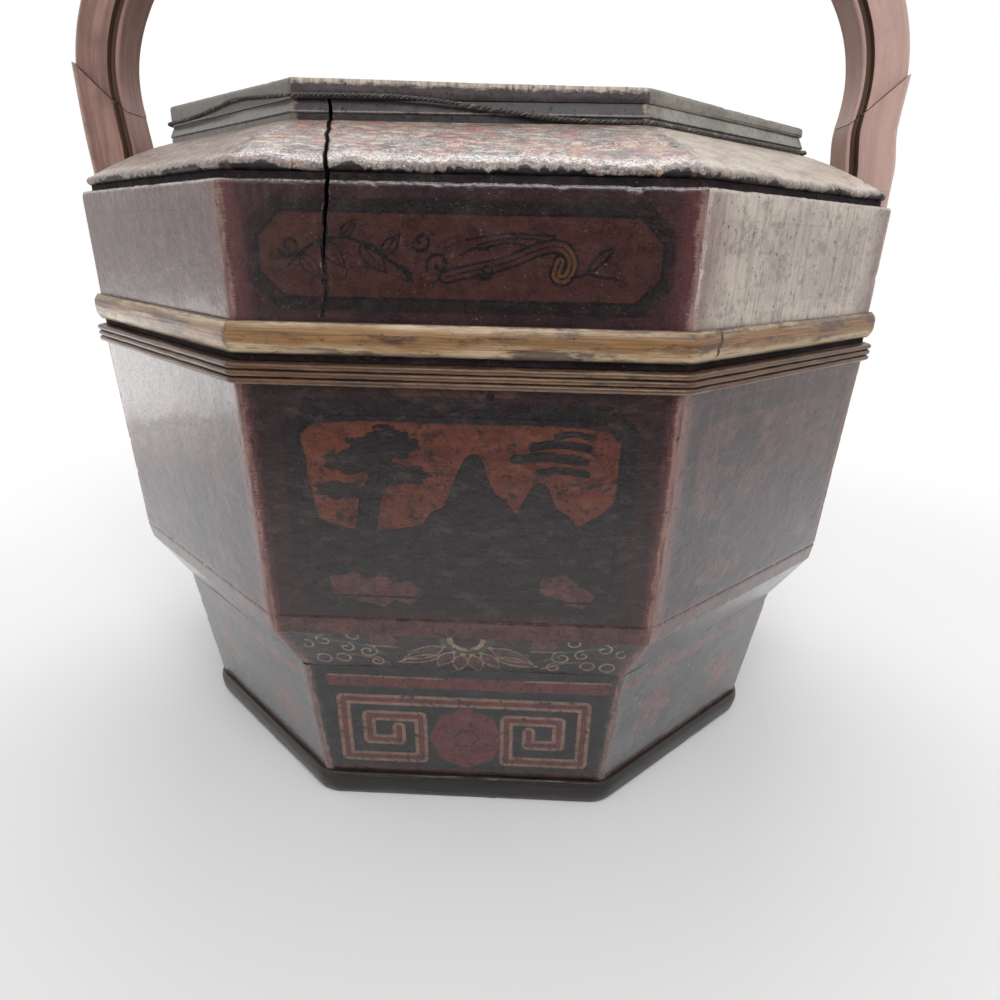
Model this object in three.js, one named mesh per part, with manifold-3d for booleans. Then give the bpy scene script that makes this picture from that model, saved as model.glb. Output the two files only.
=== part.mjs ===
// Octagonal lacquered wedding basket with split-bamboo bands, a lift-off lid and a fixed arched handle.
// Millimetres, +Z up, front towards -Y, origin on the floor under the middle of the basket.
import * as THREE from 'three';
import { mergeVertices } from 'three/addons/utils/BufferGeometryUtils.js';
import Module from 'manifold-3d';

const wasm = await Module();
wasm.setup();

// Driving dimensions. A "half" is the distance from the axis to a wide face.
const rimHalf = 160.4;         // body wall at the rim, from which the other halves step in and out
const slantExtra = 2.6;        // a slanting face stands this much further out than a wide face
const cornerRound = 2;         // rounding of the boards' outer corners

const footHeight = 67.5;
const footFlare = 10.8;        // how far the foot leans out over its height
const footThick = 8;
const footBandHeight = 11.6;
const footBandProud = 2.8;

const flareHeight = 21.5;      // painted bevel between the foot and the lip
const flareRun = 13.6;
const lipHeight = 7.6;
const lipSet = 1.5;            // lower edge of the lip, in from the foot of the wall
const lipEase = 0.1;
const lipStep = 0.6;           // depth of the quirk above the lip
const quirkHeight = 0.7;
const wallFlare = 5.8;         // how far the wall leans out over its height
const wallHeight = 90.4;       // from the lip to the rim
const wallThick = 9.5;
const ledgeDrop = 10.6;        // the floor's ledge, measured down from the top of the lip
const floorThick = 9;
const floorClear = 0.4;

const rimStripCount = 3;
const rimStripHeight = 2.3;
const rimStripProud = 2.4;
const bandClear = 0.15;        // glue line behind a bamboo band
const bandEdge = 0.55;         // share of a band's crown that is lost at its edges
const bandSteps = 5;
const scarfGap = 0.35;
const scarfAngle = 20;
const footScarf = { side: 4, along: 30 };      // side of the octagon, and place along it
const rimScarf = { side: 4, along: -40, step: 30 };
const lidScarf = { side: 1, along: -52 };

const innerLipThick = 4;
const innerLipRise = 8;        // how far it stands above the rim
const innerLipDepth = 16;      // how far it reaches down inside the wall
const innerLipClear = 0.3;
const innerLipArris = 1;

const lidSeat = 0.3;
const lidInset = 1;            // lower edge of the lid, in from the rim
const lidFlare = 1.9;
const lidWallHeight = 51.9;
const lidWallThick = 8;
const lidArris = 1.4;          // worn upper arris of the lid wall
const lidBandLift = 2.3;       // dark strip left below the band
const lidBandHeight = 9.8;
const lidBandProud = 2.8;

const coveSet = 3.4;           // how far the shoulder boards' foot is set back in the cove
const noseInset = 1.1;         // shoulder's nose, in from the top of the lid wall
const noseRise = 3;            // height of the shoulder's nose above the lid wall
const noseDrop = 1.4;          // height of the nose's rounded underside
const noseUndercut = 0.8;
const shoulderRise = 16.4;
const shoulderRun = 31.7;
const shoulderCrown = 0.9;
const shoulderSteps = 4;
const collarStep = 0.8;        // flat left on the shoulder in front of the collar
const collarTaper = 1.9;
const collarHeight = 6.6;
const collarThick = 11;
const ledgeRun = 6;            // flat of the shoulder boards inside the collar
const ledgeThick = 6;
const topBoardThick = 4.8;
const topBoardNose = 0.8;      // overhang of the top board past the collar
const topBoardRound = 1.1;
const topBoardEase = 0.4;

const cordRadius = 0.9;
const cordClear = 0.2;
const cordSlackStart = -30;    // along the front, where the cord starts to sag off its joint
const cordSlackEnd = 42;       // along the front, where it lies on the shoulder
const cordSides = 8;
const cordSteps = 8;           // steps in each stretch where the cord changes height

const crackWidth = 1.3;
const crackTop = -38;          // along the front, at the top of the lid wall
const crackFoot = -41.5;
const crackCollar = -45;
const crackStop = 13;          // sound wood left above the lid wall's lower edge
const crackBend = 0.55;        // share of the lid wall's height where the split turns
const crackJog = 0.8;
const cutOver = 1;             // how far a cut runs out past the face it starts from

const legFoot = 4;             // end of a leg above the lip
const legClear = 2.3;          // free gap between a leg and the lid's band
const legSeat = 0.3;
const legLowDepth = 20.5;      // depth of a leg, front view, at its lower end
const legHalfWidth = 13.5;
const legKneeDrop = 8;         // bend in a leg, below the lid's top
const legEndRound = 12;
const legEndSteps = 4;
const legArris = 1;
const archSpread = 3.5;        // how far the arch stands out past the legs' inner faces at its centre
const archLift = 21;           // centre of the arch's curve above the lid's top
const archRise = 101;
const springLift = 7;          // joint of arch and leg above the lid's top
const archDepth = 20;
const archHalfWidth = 12;
const archRound = 3;
const archEase = 0.9;          // small chamfer on the arch's inner edges
const archSteps = 44;
const archOverrun = 0.5;       // turn of the arch's curve, in radians, run past each joint before it is cut
const scarfSlope = 43;         // slope of the shoulder between leg and arch
const halvings = 40;           // steps that find the outer end of that shoulder
const jointClear = 0.3;
const grooveInset = 1.6;
const grooveWidth = 4;
const grooveFloorHalf = 8.5;   // half-width left between the two grooves
const tenonLength = 24;
const tenonWidth = 9;
const tenonDepth = 9;
const tenonRoot = 2;           // how far the tenon starts inside the arch
const pegRadius = 3.2;
const pegClear = 0.3;
const pegHead = 1.2;
const pegHeadSteps = 3;
const pegFacets = 14;
const pegHeights = [22, 62];   // above the lip

// Levels worked out from the sizes above
const lipZ = footHeight + flareHeight;
const wallZ = lipZ + lipHeight;
const rimZ = wallZ + wallHeight;
const floorZ = wallZ - ledgeDrop;
const stripZ = rimZ - rimStripCount * rimStripHeight;
const lidZ = rimZ + lidSeat;
const lidTopZ = lidZ + lidWallHeight;
const lidBandZ = lidZ + lidBandLift;
const noseZ = lidTopZ + noseRise;
const collarZ = noseZ + shoulderRise;
const topBoardZ = collarZ + collarHeight;
const lidHighZ = topBoardZ + topBoardThick;
const legKneeZ = lidHighZ - legKneeDrop;
const archSpringZ = lidHighZ + springLift;
const archCentreZ = lidHighZ + archLift;

// Halves worked out from the rim
const wallTopHalf = rimHalf;
const wallLowHalf = wallTopHalf - wallFlare;
const lipLowHalf = wallLowHalf - lipSet;
const footTopHalf = lipLowHalf - flareRun;
const footLowHalf = footTopHalf - footFlare;
const lidLowHalf = rimHalf - lidInset;
const lidTopHalf = lidLowHalf + lidFlare;
const noseHalf = lidTopHalf - noseInset;
const collarLowHalf = noseHalf - shoulderRun;
const collarTopHalf = collarLowHalf - collarTaper;

const mix = (a, b, share) => a + (b - a) * share;
const wallHalfAt = (z) => mix(wallLowHalf, wallTopHalf, (z - wallZ) / wallHeight);
const footHalfAt = (z) => mix(footLowHalf, footTopHalf, z / footHeight);
const lidHalfAt = (z) => mix(lidLowHalf, lidTopHalf, (z - lidZ) / lidWallHeight);

const lacquer = new THREE.MeshStandardMaterial({ color: 0x3a1416, roughness: 0.35, metalness: 0 });
const blackLacquer = new THREE.MeshStandardMaterial({ color: 0x1d1a1d, roughness: 0.4, metalness: 0 });
const paintedTop = new THREE.MeshStandardMaterial({ color: 0x8d7568, roughness: 0.6, metalness: 0 });
const bamboo = new THREE.MeshStandardMaterial({ color: 0x8a6238, roughness: 0.5, metalness: 0 });
const plainWood = new THREE.MeshStandardMaterial({ color: 0x6b4a33, roughness: 0.7, metalness: 0 });
const handleWood = new THREE.MeshStandardMaterial({ color: 0x77534b, roughness: 0.45, metalness: 0 });
const twine = new THREE.MeshStandardMaterial({ color: 0x2c2826, roughness: 0.6, metalness: 0 });

const basket = new THREE.Group();
const lid = new THREE.Group();
basket.add(lid);

function piece(name, geometry, material, parent = basket) {
  const mesh = new THREE.Mesh(geometry, material);
  mesh.name = name;
  parent.add(mesh);
  return mesh;
}

// Geometry helpers

const weldDistance = 1e-4;

function closedGeometry(points, triangles) {
  let volume = 0;
  for (const [i, j, k] of triangles) {
    volume += points[i].dot(new THREE.Vector3().crossVectors(points[j], points[k]));
  }
  const index = volume > 0 ? triangles.flat() : triangles.flatMap(([i, j, k]) => [i, k, j]);
  const geometry = new THREE.BufferGeometry().setFromPoints(points);
  geometry.setIndex(index);
  return geometry;
}

function toManifold(geometry) {
  const bare = geometry.clone();
  bare.deleteAttribute('normal');
  bare.deleteAttribute('uv');
  const merged = mergeVertices(bare, weldDistance);
  return new wasm.Manifold(new wasm.Mesh({
    numProp: 3,
    vertProperties: new Float32Array(merged.attributes.position.array),
    triVerts: new Uint32Array(merged.index.array),
  }));
}

function toGeometry(manifold) {
  const mesh = manifold.getMesh();
  const geometry = new THREE.BufferGeometry();
  geometry.setAttribute('position', new THREE.BufferAttribute(new Float32Array(mesh.vertProperties), 3));
  geometry.setIndex(Array.from(mesh.triVerts));
  return geometry;
}

function cut(geometry, ...tools) {
  return toGeometry(tools.reduce((rest, tool) => rest.subtract(toManifold(tool)), toManifold(geometry)));
}

function join(geometry, ...others) {
  return toGeometry(others.reduce((sum, other) => sum.add(toManifold(other)), toManifold(geometry)));
}

// An outline in X and Z, given as [x, z] points, with a thickness along Y from yLow to yHigh
function slab(outline, yLow, yHigh, arris = 0) {
  const shape = new THREE.Shape(outline.map(([x, z]) => new THREE.Vector2(x, z)));
  const geometry = new THREE.ExtrudeGeometry(shape, {
    depth: yHigh - yLow - 2 * arris,
    bevelEnabled: arris > 0,
    bevelThickness: arris,
    bevelSize: arris,
    bevelOffset: -arris,
    bevelSegments: 1,
  });
  geometry.rotateX(Math.PI / 2);
  geometry.translate(0, yHigh - arris, 0);
  return geometry;
}

// The octagon: side 0 faces the front and sides are counted anticlockwise from above
const sideNames = ['front', 'front_right', 'right', 'back_right', 'back', 'back_left', 'left', 'front_left'];
const sideCount = sideNames.length;
const cornerTurn = Math.PI / sideCount;
const sideAngle = (side) => -Math.PI / 2 + 2 * cornerTurn * side;
const direction = (angle) => new THREE.Vector2(Math.cos(angle), Math.sin(angle));
const sideHalf = (half, side) => half + (side % 2 ? slantExtra : 0);

// Corner where a side starts, for an octagon of the given half
function cornerAt(half, side) {
  const before = side - 1 + sideCount;
  const c = Math.cos(2 * cornerTurn);
  const s = 1 - c * c;
  const inner = (sideHalf(half, before % sideCount) - c * sideHalf(half, side % sideCount)) / s;
  const outer = (sideHalf(half, side % sideCount) - c * sideHalf(half, before % sideCount)) / s;
  return direction(sideAngle(before)).multiplyScalar(inner)
    .add(direction(sideAngle(side)).multiplyScalar(outer));
}

// A point of a side near one of its corners: turn runs from 0, where the flat ends, to 1, on the mitre
function outlinePoint({ half, z, round }, side, atEnd, turn) {
  const sign = atEnd ? 1 : -1;
  const corner = cornerAt(half - round, atEnd ? side + 1 : side);
  if (round > 0) {
    corner.add(direction(sideAngle(side) + sign * turn * cornerTurn).multiplyScalar(round));
  } else {
    const back = cornerRound * Math.tan(cornerTurn) * (1 - turn);
    corner.add(direction(sideAngle(side) + Math.PI / 2).multiplyScalar(-sign * back));
  }
  return new THREE.Vector3(corner.x, corner.y, z);
}

const sharp = (half, z) => ({ half, z, round: 0 });
const rounded = (half, z, round = cornerRound) => ({ half, z, round });

// An upper outer edge worked round to the given size
function easedEdge(half, z, size) {
  return [0, 0.25, 0.5].map((share) => {
    const turn = Math.PI * share;
    return rounded(half - size + size * Math.cos(turn), z - size + size * Math.sin(turn));
  });
}

// Quads between rings of points, each as two triangles
function stitch(rings, closedAround, closedProfile = true) {
  const count = rings[0].length;
  const triangles = [];
  const last = closedAround ? rings.length : rings.length - 1;
  for (let i = 0; i < last; i++) {
    const next = (i + 1) % rings.length;
    for (let j = 0; j < (closedProfile ? count : count - 1); j++) {
      const side = (j + 1) % count;
      triangles.push([i * count + j, next * count + j, next * count + side]);
      triangles.push([i * count + j, next * count + side, i * count + side]);
    }
  }
  return triangles;
}

// One board of a mitred octagon: a profile of half and height, run along one side from mitre to mitre
function mitredBoard(profile, side) {
  const stations = [[false, 1], [false, 0.5], [false, 0], [true, 0], [true, 0.5], [true, 1]];
  const rings = stations.map(([atEnd, turn]) => profile.map((p) => outlinePoint(p, side, atEnd, turn)));
  const triangles = stitch(rings, false);
  const flat = profile.map((p) => new THREE.Vector2(p.half, p.z));
  const lastRing = (rings.length - 1) * profile.length;
  for (const [i, j, k] of THREE.ShapeUtils.triangulateShape(flat, [])) {
    triangles.push([i, j, k]);
    triangles.push([lastRing + i, lastRing + k, lastRing + j]);
  }
  return closedGeometry(rings.flat(), triangles);
}

function ringStations(profile) {
  const rings = [];
  for (let side = 0; side < sideCount; side++) {
    for (const [atEnd, turn] of [[false, 0.5], [false, 0], [true, 0], [true, 0.5], [true, 1]]) {
      rings.push(profile.map((p) => outlinePoint(p, side, atEnd, turn)));
    }
  }
  return rings;
}

// A strip bent right round the octagon
function bentRing(profile) {
  const rings = ringStations(profile);
  return closedGeometry(rings.flat(), stitch(rings, true));
}

// A flat octagonal board, from its lower edge up to its upper edge
function plate(profile) {
  const rings = ringStations(profile);
  const points = rings.flat();
  const count = profile.length;
  const triangles = stitch(rings, true, false);
  const low = points.push(new THREE.Vector3(0, 0, profile[0].z)) - 1;
  const high = points.push(new THREE.Vector3(0, 0, profile[count - 1].z)) - 1;
  for (let i = 0; i < rings.length; i++) {
    const next = (i + 1) % rings.length;
    triangles.push([i * count, low, next * count]);
    triangles.push([(i + 1) * count - 1, (next + 1) * count - 1, high]);
  }
  return closedGeometry(points, triangles);
}

// Half-round profile of a split bamboo strip that lies on a wall, whose half is backHalf at each height
function bambooProfile(backHalf, z, height, proud) {
  const outside = Array.from({ length: bandSteps + 1 }, (_, i) => {
    const share = i / bandSteps;
    const stand = proud * (1 - bandEdge * Math.abs(2 * share - 1) ** 3);
    return rounded(backHalf(z + height * share) + bandClear + stand, z + height * share, cornerRound + stand);
  });
  return [
    ...outside,
    rounded(backHalf(z + height) + bandClear, z + height),
    rounded(backHalf(z) + bandClear, z),
  ];
}

// A thin slanting saw cut through a bent strip, where its two ends overlap
function scarfTool(half, z, height, proud, { side, along }) {
  const length = 4 * proud / Math.sin(THREE.MathUtils.degToRad(scarfAngle));
  const tool = new THREE.BoxGeometry(length, scarfGap, 2 * height);
  tool.rotateZ(sideAngle(side) + Math.PI / 2 + THREE.MathUtils.degToRad(scarfAngle));
  const out = direction(sideAngle(side)).multiplyScalar(sideHalf(half, side) + proud / 2);
  out.add(direction(sideAngle(side) + Math.PI / 2).multiplyScalar(along));
  tool.translate(out.x, out.y, z + height / 2);
  return tool;
}

// Foot: eight leaning boards and the bamboo band round their lower edge

const footProfile = [
  rounded(footLowHalf, 0),
  rounded(footTopHalf, footHeight),
  sharp(footTopHalf - footThick, footHeight),
  sharp(footLowHalf - footThick, 0),
];
sideNames.forEach((side, i) => piece(`foot_board_${side}`, mitredBoard(footProfile, i), blackLacquer));

const footBand = cut(
  bentRing(bambooProfile(footHalfAt, 0, footBandHeight, footBandProud)),
  scarfTool(footHalfAt(0), 0, footBandHeight, footBandProud, footScarf),
);
piece('foot_band', footBand, bamboo);

// Body: eight wall boards, each with the lip and the bevel worked on its lower edge and a ledge inside

const wallProfile = [
  rounded(footTopHalf, footHeight),
  rounded(lipLowHalf, lipZ),
  rounded(wallLowHalf - lipEase, wallZ - quirkHeight),
  rounded(wallLowHalf - lipStep, wallZ),
  rounded(wallLowHalf, wallZ + quirkHeight),
  rounded(wallTopHalf, rimZ),
  sharp(wallTopHalf - wallThick, rimZ),
  sharp(wallHalfAt(floorZ) - wallThick, floorZ),
  sharp(footTopHalf - footThick, floorZ),
  sharp(footTopHalf - footThick, footHeight),
];

function peg(height, fromHalf, toHalf) {
  const profile = [new THREE.Vector2(0, fromHalf), new THREE.Vector2(pegRadius, fromHalf)];
  for (let i = 0; i < pegHeadSteps; i++) {
    const turn = direction(0.5 * Math.PI * i / pegHeadSteps);
    profile.push(new THREE.Vector2(pegRadius * turn.x, toHalf + pegHead * turn.y));
  }
  profile.push(new THREE.Vector2(0, toHalf + pegHead));
  const geometry = new THREE.LatheGeometry(profile, pegFacets);
  geometry.rotateZ(-Math.PI / 2);
  geometry.translate(0, 0, height);
  return geometry;
}

function pegHole(height) {
  const reach = 2 * rimHalf;
  const hole = new THREE.CylinderGeometry(pegRadius + pegClear, pegRadius + pegClear, reach, pegFacets);
  hole.rotateZ(-Math.PI / 2);
  hole.translate(reach / 2, 0, height);
  return hole;
}

const mirrored = (geometry, sign) => (sign < 0 ? geometry.clone().rotateZ(Math.PI) : geometry);
const pegLevels = pegHeights.map((height) => wallZ + height);

sideNames.forEach((side, i) => {
  let board = mitredBoard(wallProfile, i);
  if (side === 'right' || side === 'left') {
    const sign = side === 'right' ? 1 : -1;
    board = cut(board, ...pegLevels.map((z) => mirrored(pegHole(z), sign)));
  }
  piece(`body_wall_${side}`, board, lacquer);
});

const floorHalf = wallHalfAt(floorZ) - wallThick - floorClear;
piece('floor_board', plate([sharp(floorHalf, floorZ), sharp(floorHalf, floorZ + floorThick)]), plainWood);

for (let i = 0; i < rimStripCount; i++) {
  const z = stripZ + i * rimStripHeight;
  const strip = bentRing(bambooProfile(wallHalfAt, z, rimStripHeight, rimStripProud));
  const place = { side: rimScarf.side, along: rimScarf.along + rimScarf.step * i };
  const seam = scarfTool(wallHalfAt(z), z, rimStripHeight, rimStripProud, place);
  piece(`rim_strip_${i + 1}`, cut(strip, seam), bamboo);
}

const innerLipHalf = wallHalfAt(rimZ) - wallThick - innerLipClear;
const innerLipLowHalf = wallHalfAt(rimZ - innerLipDepth) - wallThick - innerLipClear;
const innerLip = bentRing([
  rounded(innerLipLowHalf, rimZ - innerLipDepth),
  rounded(innerLipHalf, rimZ),
  ...easedEdge(innerLipHalf - innerLipClear, rimZ + innerLipRise, innerLipArris),
  sharp(innerLipHalf - innerLipThick, rimZ + innerLipRise),
  sharp(innerLipLowHalf - innerLipThick, rimZ - innerLipDepth),
]);
piece('inner_lip', innerLip, plainWood);

// Lid: wall boards, bamboo band, sloping shoulder boards, collar, top board and the cord round the collar

const lidWallProfile = [
  rounded(lidLowHalf, lidZ),
  ...easedEdge(lidTopHalf, lidTopZ, lidArris),
  sharp(lidTopHalf - lidWallThick, lidTopZ),
  sharp(lidLowHalf - lidWallThick, lidZ),
];

const shoulderProfile = [
  rounded(noseHalf - coveSet, lidTopZ),
  rounded(noseHalf - noseUndercut, noseZ - noseDrop),
];
for (let i = 0; i <= shoulderSteps; i++) {
  const share = i / shoulderSteps;
  const crown = shoulderCrown * 4 * share * (1 - share);
  const half = mix(noseHalf, collarLowHalf + collarStep, share);
  shoulderProfile.push(rounded(half, mix(noseZ, collarZ, share) + crown));
}
const collarInner = collarLowHalf - collarThick;
shoulderProfile.push(
  sharp(collarInner - ledgeRun, collarZ),
  sharp(collarInner - ledgeRun, collarZ - ledgeThick),
  sharp(lidTopHalf - lidWallThick, lidTopZ),
);

const collarProfile = [
  rounded(collarLowHalf, collarZ),
  rounded(collarTopHalf, topBoardZ),
  sharp(collarInner, topBoardZ),
  sharp(collarInner, collarZ),
];

// The front boards have split along the grain. Each split is an open gap with sound wood left at one end.
const crackBendZ = mix(lidZ, lidTopZ, crackBend);
const wallCrack = slab([
  [crackTop - crackWidth / 2, lidTopZ + cutOver],
  [crackTop + crackWidth / 2, lidTopZ + cutOver],
  [crackTop + crackWidth / 2 - crackJog, crackBendZ],
  [crackFoot + crackWidth / 4, lidZ + crackStop],
  [crackFoot - crackWidth / 4, lidZ + crackStop],
  [crackTop - crackWidth / 2 - crackJog, crackBendZ],
], -lidTopHalf - cutOver, -lidLowHalf + lidWallThick + cutOver);

function plumbSlit(corners, zLow, zHigh) {
  const shape = new THREE.Shape(corners.map(([x, y]) => new THREE.Vector2(x, y)));
  const slit = new THREE.ExtrudeGeometry(shape, { depth: zHigh - zLow, bevelEnabled: false });
  slit.translate(0, 0, zLow);
  return slit;
}
const crackBack = collarThick / 2;
const shoulderCrack = plumbSlit([
  [crackTop - crackWidth / 2, -noseHalf - cutOver],
  [crackTop + crackWidth / 2, -noseHalf - cutOver],
  [crackCollar + crackWidth / 2, -collarLowHalf + crackBack],
  [crackCollar - crackWidth / 2, -collarLowHalf + crackBack],
], lidTopZ - cutOver, topBoardZ + cutOver);
const frontSplits = { wall: wallCrack, shoulder: shoulderCrack, collar: shoulderCrack };

sideNames.forEach((side, i) => {
  const boards = {
    wall: mitredBoard(lidWallProfile, i),
    shoulder: mitredBoard(shoulderProfile, i),
    collar: mitredBoard(collarProfile, i),
  };
  if (side === 'front') {
    for (const name of Object.keys(boards)) boards[name] = cut(boards[name], frontSplits[name]);
  }
  piece(`lid_wall_${side}`, boards.wall, lacquer, lid);
  piece(`lid_shoulder_${side}`, boards.shoulder, paintedTop, lid);
  piece(`lid_collar_${side}`, boards.collar, blackLacquer, lid);
});

const topBoardHalf = collarTopHalf + topBoardNose;
const topBoard = plate([
  rounded(topBoardHalf - topBoardEase, topBoardZ),
  rounded(topBoardHalf, topBoardZ + 2 * topBoardEase),
  ...easedEdge(topBoardHalf, lidHighZ, topBoardRound),
]);
piece('lid_top_board', topBoard, blackLacquer, lid);

const lidBand = cut(
  bentRing(bambooProfile(lidHalfAt, lidBandZ, lidBandHeight, lidBandProud)),
  scarfTool(lidHalfAt(lidBandZ), lidBandZ, lidBandHeight, lidBandProud, lidScarf),
);
piece('lid_band', lidBand, bamboo, lid);

// The cord runs in the joint under the top board, and has slipped down onto the shoulder on the right
function cordRoute() {
  const high = { half: topBoardHalf + cordRadius + cordClear, z: topBoardZ + cordRadius };
  const low = { half: collarLowHalf + cordRadius + cordClear, z: collarZ + cordRadius + cordClear };
  const bend = cornerRound + cordRadius + cordClear;
  const cordAt = (slip) => rounded(mix(high.half, low.half, slip), mix(high.z, low.z, slip), bend);
  const slipEnds = [[0, 1], [1, 1], [1, 1], [1, 1], [1, 1], [1, 0], [0, 0], [0, 0]];   // side by side
  return slipEnds.flatMap(([slipStart, slipEnd], side) => {
    const from = cordAt(slipStart);
    const to = cordAt(slipEnd);
    const first = outlinePoint(from, side, false, 0);
    const last = outlinePoint(to, side, true, 0);
    const stretch = [];
    for (let i = 1; i < cordSteps && slipStart !== slipEnd; i++) {
      const along = mix(cordSlackStart, cordSlackEnd, i / cordSteps);
      const slip = mix(slipStart, slipEnd, THREE.MathUtils.smoothstep(along, cordSlackStart, cordSlackEnd));
      const cord = cordAt(slip);
      const out = direction(sideAngle(side)).multiplyScalar(sideHalf(cord.half, side));
      const at = out.addScaledVector(direction(sideAngle(side) + Math.PI / 2), along);
      stretch.push(new THREE.Vector3(at.x, at.y, cord.z));
    }
    return [
      outlinePoint(from, side, false, 0.5), first, ...stretch,
      last, outlinePoint(to, side, true, 0.5), outlinePoint(to, side, true, 1),
    ];
  });
}

function cordLoop() {
  const route = cordRoute();
  const rings = route.map((centre, i) => {
    const before = route[(i - 1 + route.length) % route.length];
    const after = route[(i + 1) % route.length];
    const along = new THREE.Vector3().subVectors(after, before).normalize();
    const outward = new THREE.Vector3().crossVectors(along, new THREE.Vector3(0, 0, 1)).normalize();
    const up = new THREE.Vector3().crossVectors(outward, along);
    return Array.from({ length: cordSides }, (_, j) => {
      const turn = 2 * Math.PI * j / cordSides;
      return centre.clone()
        .addScaledVector(outward, cordRadius * Math.cos(turn))
        .addScaledVector(up, cordRadius * Math.sin(turn));
    });
  });
  return closedGeometry(rings.flat(), stitch(rings, true));
}
piece('collar_cord', cordLoop(), twine, lid);

// Handle: an arch tenoned into two legs that are pegged to the wide side boards

const legClearHalf = lidHalfAt(lidBandZ + lidBandHeight) + bandClear + lidBandProud + legClear;
const archHalf = legClearHalf + archSpread;
const springTurn = Math.asin((archSpringZ - archCentreZ) / archRise);
const archPoint = (turn) => new THREE.Vector2(archHalf * Math.cos(turn), archCentreZ + archRise * Math.sin(turn));
const spring = archPoint(springTurn);
const slope = THREE.MathUtils.degToRad(scarfSlope);
const scarfUp = new THREE.Vector2(-Math.sin(slope), Math.cos(slope));

// Cross-section of the arch: depth away from its inner face, and half-width across it
const archSection = [
  [0, archHalfWidth - archEase], [archEase, archHalfWidth],
  [grooveInset, archHalfWidth], [grooveInset, grooveFloorHalf],
  [grooveInset + grooveWidth, grooveFloorHalf], [grooveInset + grooveWidth, archHalfWidth],
  ...[0, 0.25, 0.5].map((share) => [
    archDepth - archRound + archRound * Math.sin(Math.PI * share),
    archHalfWidth - archRound + archRound * Math.cos(Math.PI * share),
  ]),
];
const archOutline = [
  ...archSection.map(([depth, across]) => [depth, -across]),
  ...archSection.toReversed(),
];

// Direction along the arch and square to it, at a turn of its inner ellipse
function archFrame(turn) {
  const along = new THREE.Vector2(-archHalf * Math.sin(turn), archRise * Math.cos(turn)).normalize();
  return { inner: archPoint(turn), along, out: new THREE.Vector2(along.y, -along.x) };
}

function archLoft() {
  const lowTurn = springTurn - archOverrun;
  const rings = [];
  for (let i = 0; i <= archSteps; i++) {
    const { inner, out } = archFrame(mix(lowTurn, Math.PI - lowTurn, i / archSteps));
    rings.push(archOutline.map(([depth, across]) => {
      const at = inner.clone().addScaledVector(out, depth);
      return new THREE.Vector3(at.x, across, at.y);
    }));
  }
  const triangles = stitch(rings, false);
  const flat = archOutline.map(([depth, across]) => new THREE.Vector2(depth, across));
  const lastRing = archSteps * archOutline.length;
  for (const [a, b, c] of THREE.ShapeUtils.triangulateShape(flat, [])) {
    triangles.push([a, b, c]);
    triangles.push([lastRing + a, lastRing + c, lastRing + b]);
  }
  return closedGeometry(rings.flat(), triangles);
}

// Where the arch's outer curve meets the sloping shoulder, found by halving
function outerScarfPoint() {
  let low = springTurn;
  let high = springTurn + archOverrun;
  for (let i = 0; i < halvings; i++) {
    const middle = (low + high) / 2;
    const { inner, out } = archFrame(middle);
    const height = inner.addScaledVector(out, archDepth).sub(spring).dot(scarfUp);
    if (height > 0) high = middle;
    else low = middle;
  }
  const { inner, out } = archFrame(low);
  return inner.addScaledVector(out, archDepth);
}
const scarfOuter = outerScarfPoint();

// Everything below the sloping shoulder of the right-hand joint
function belowScarf() {
  const reach = 4 * archDepth;
  const block = new THREE.BoxGeometry(2 * reach, 4 * archHalfWidth, reach);
  block.translate(0, 0, -reach / 2);
  block.rotateY(-slope);
  block.translate(spring.x, 0, spring.y);
  return block;
}

const tenonHalf = (spring.x + scarfOuter.x) / 2;
const tenonFootZ = archSpringZ - tenonLength;

function tenon(grow) {
  const high = scarfOuter.y + tenonRoot;
  const box = new THREE.BoxGeometry(tenonDepth + 2 * grow, tenonWidth + 2 * grow, high - tenonFootZ + grow);
  box.translate(tenonHalf, 0, (high + tenonFootZ - grow) / 2);
  return box;
}
const arch = cut(archLoft(), belowScarf(), mirrored(belowScarf(), -1));
piece('handle_arch', join(arch, tenon(0), mirrored(tenon(0), -1)), handleWood);

const legEndZ = wallZ + legFoot;
const seatHalfAt = (z) => wallHalfAt(z) + legSeat;
const stepZ = stripZ - legSeat;
const scarfDrop = scarfUp.clone().multiplyScalar(-jointClear);
const legTopInner = spring.clone().add(scarfDrop);
const legTopOuter = scarfOuter.clone().add(scarfDrop);
const legLowOuter = seatHalfAt(legEndZ) + legLowDepth;

function legOutline() {
  const outline = [
    [seatHalfAt(legEndZ), legEndZ],
    [legLowOuter - legEndRound, legEndZ],
  ];
  for (let i = 1; i <= legEndSteps; i++) {
    const turn = (Math.PI / 2) * (i / legEndSteps - 1);
    outline.push([
      legLowOuter - legEndRound + legEndRound * Math.cos(turn),
      legEndZ + legEndRound + legEndRound * Math.sin(turn),
    ]);
  }
  outline.push(
    [legTopOuter.x, legTopOuter.y],
    [legTopInner.x, legTopInner.y],
    [legClearHalf, legKneeZ],
    [legClearHalf, stepZ],
    [seatHalfAt(stepZ), stepZ],
  );
  return outline;
}

const grooveEndZ = lidZ;
function legGroove(yLow, yHigh) {
  const near = grooveInset;
  const far = grooveInset + grooveWidth;
  const above = 2 * archDepth;
  return slab([
    [legClearHalf + near, grooveEndZ],
    [legClearHalf + far, grooveEndZ],
    [legClearHalf + far, legKneeZ],
    [spring.x + far, archSpringZ],
    [spring.x + far, archSpringZ + above],
    [spring.x + near, archSpringZ + above],
    [spring.x + near, archSpringZ],
    [legClearHalf + near, legKneeZ],
  ], yLow, yHigh);
}

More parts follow.
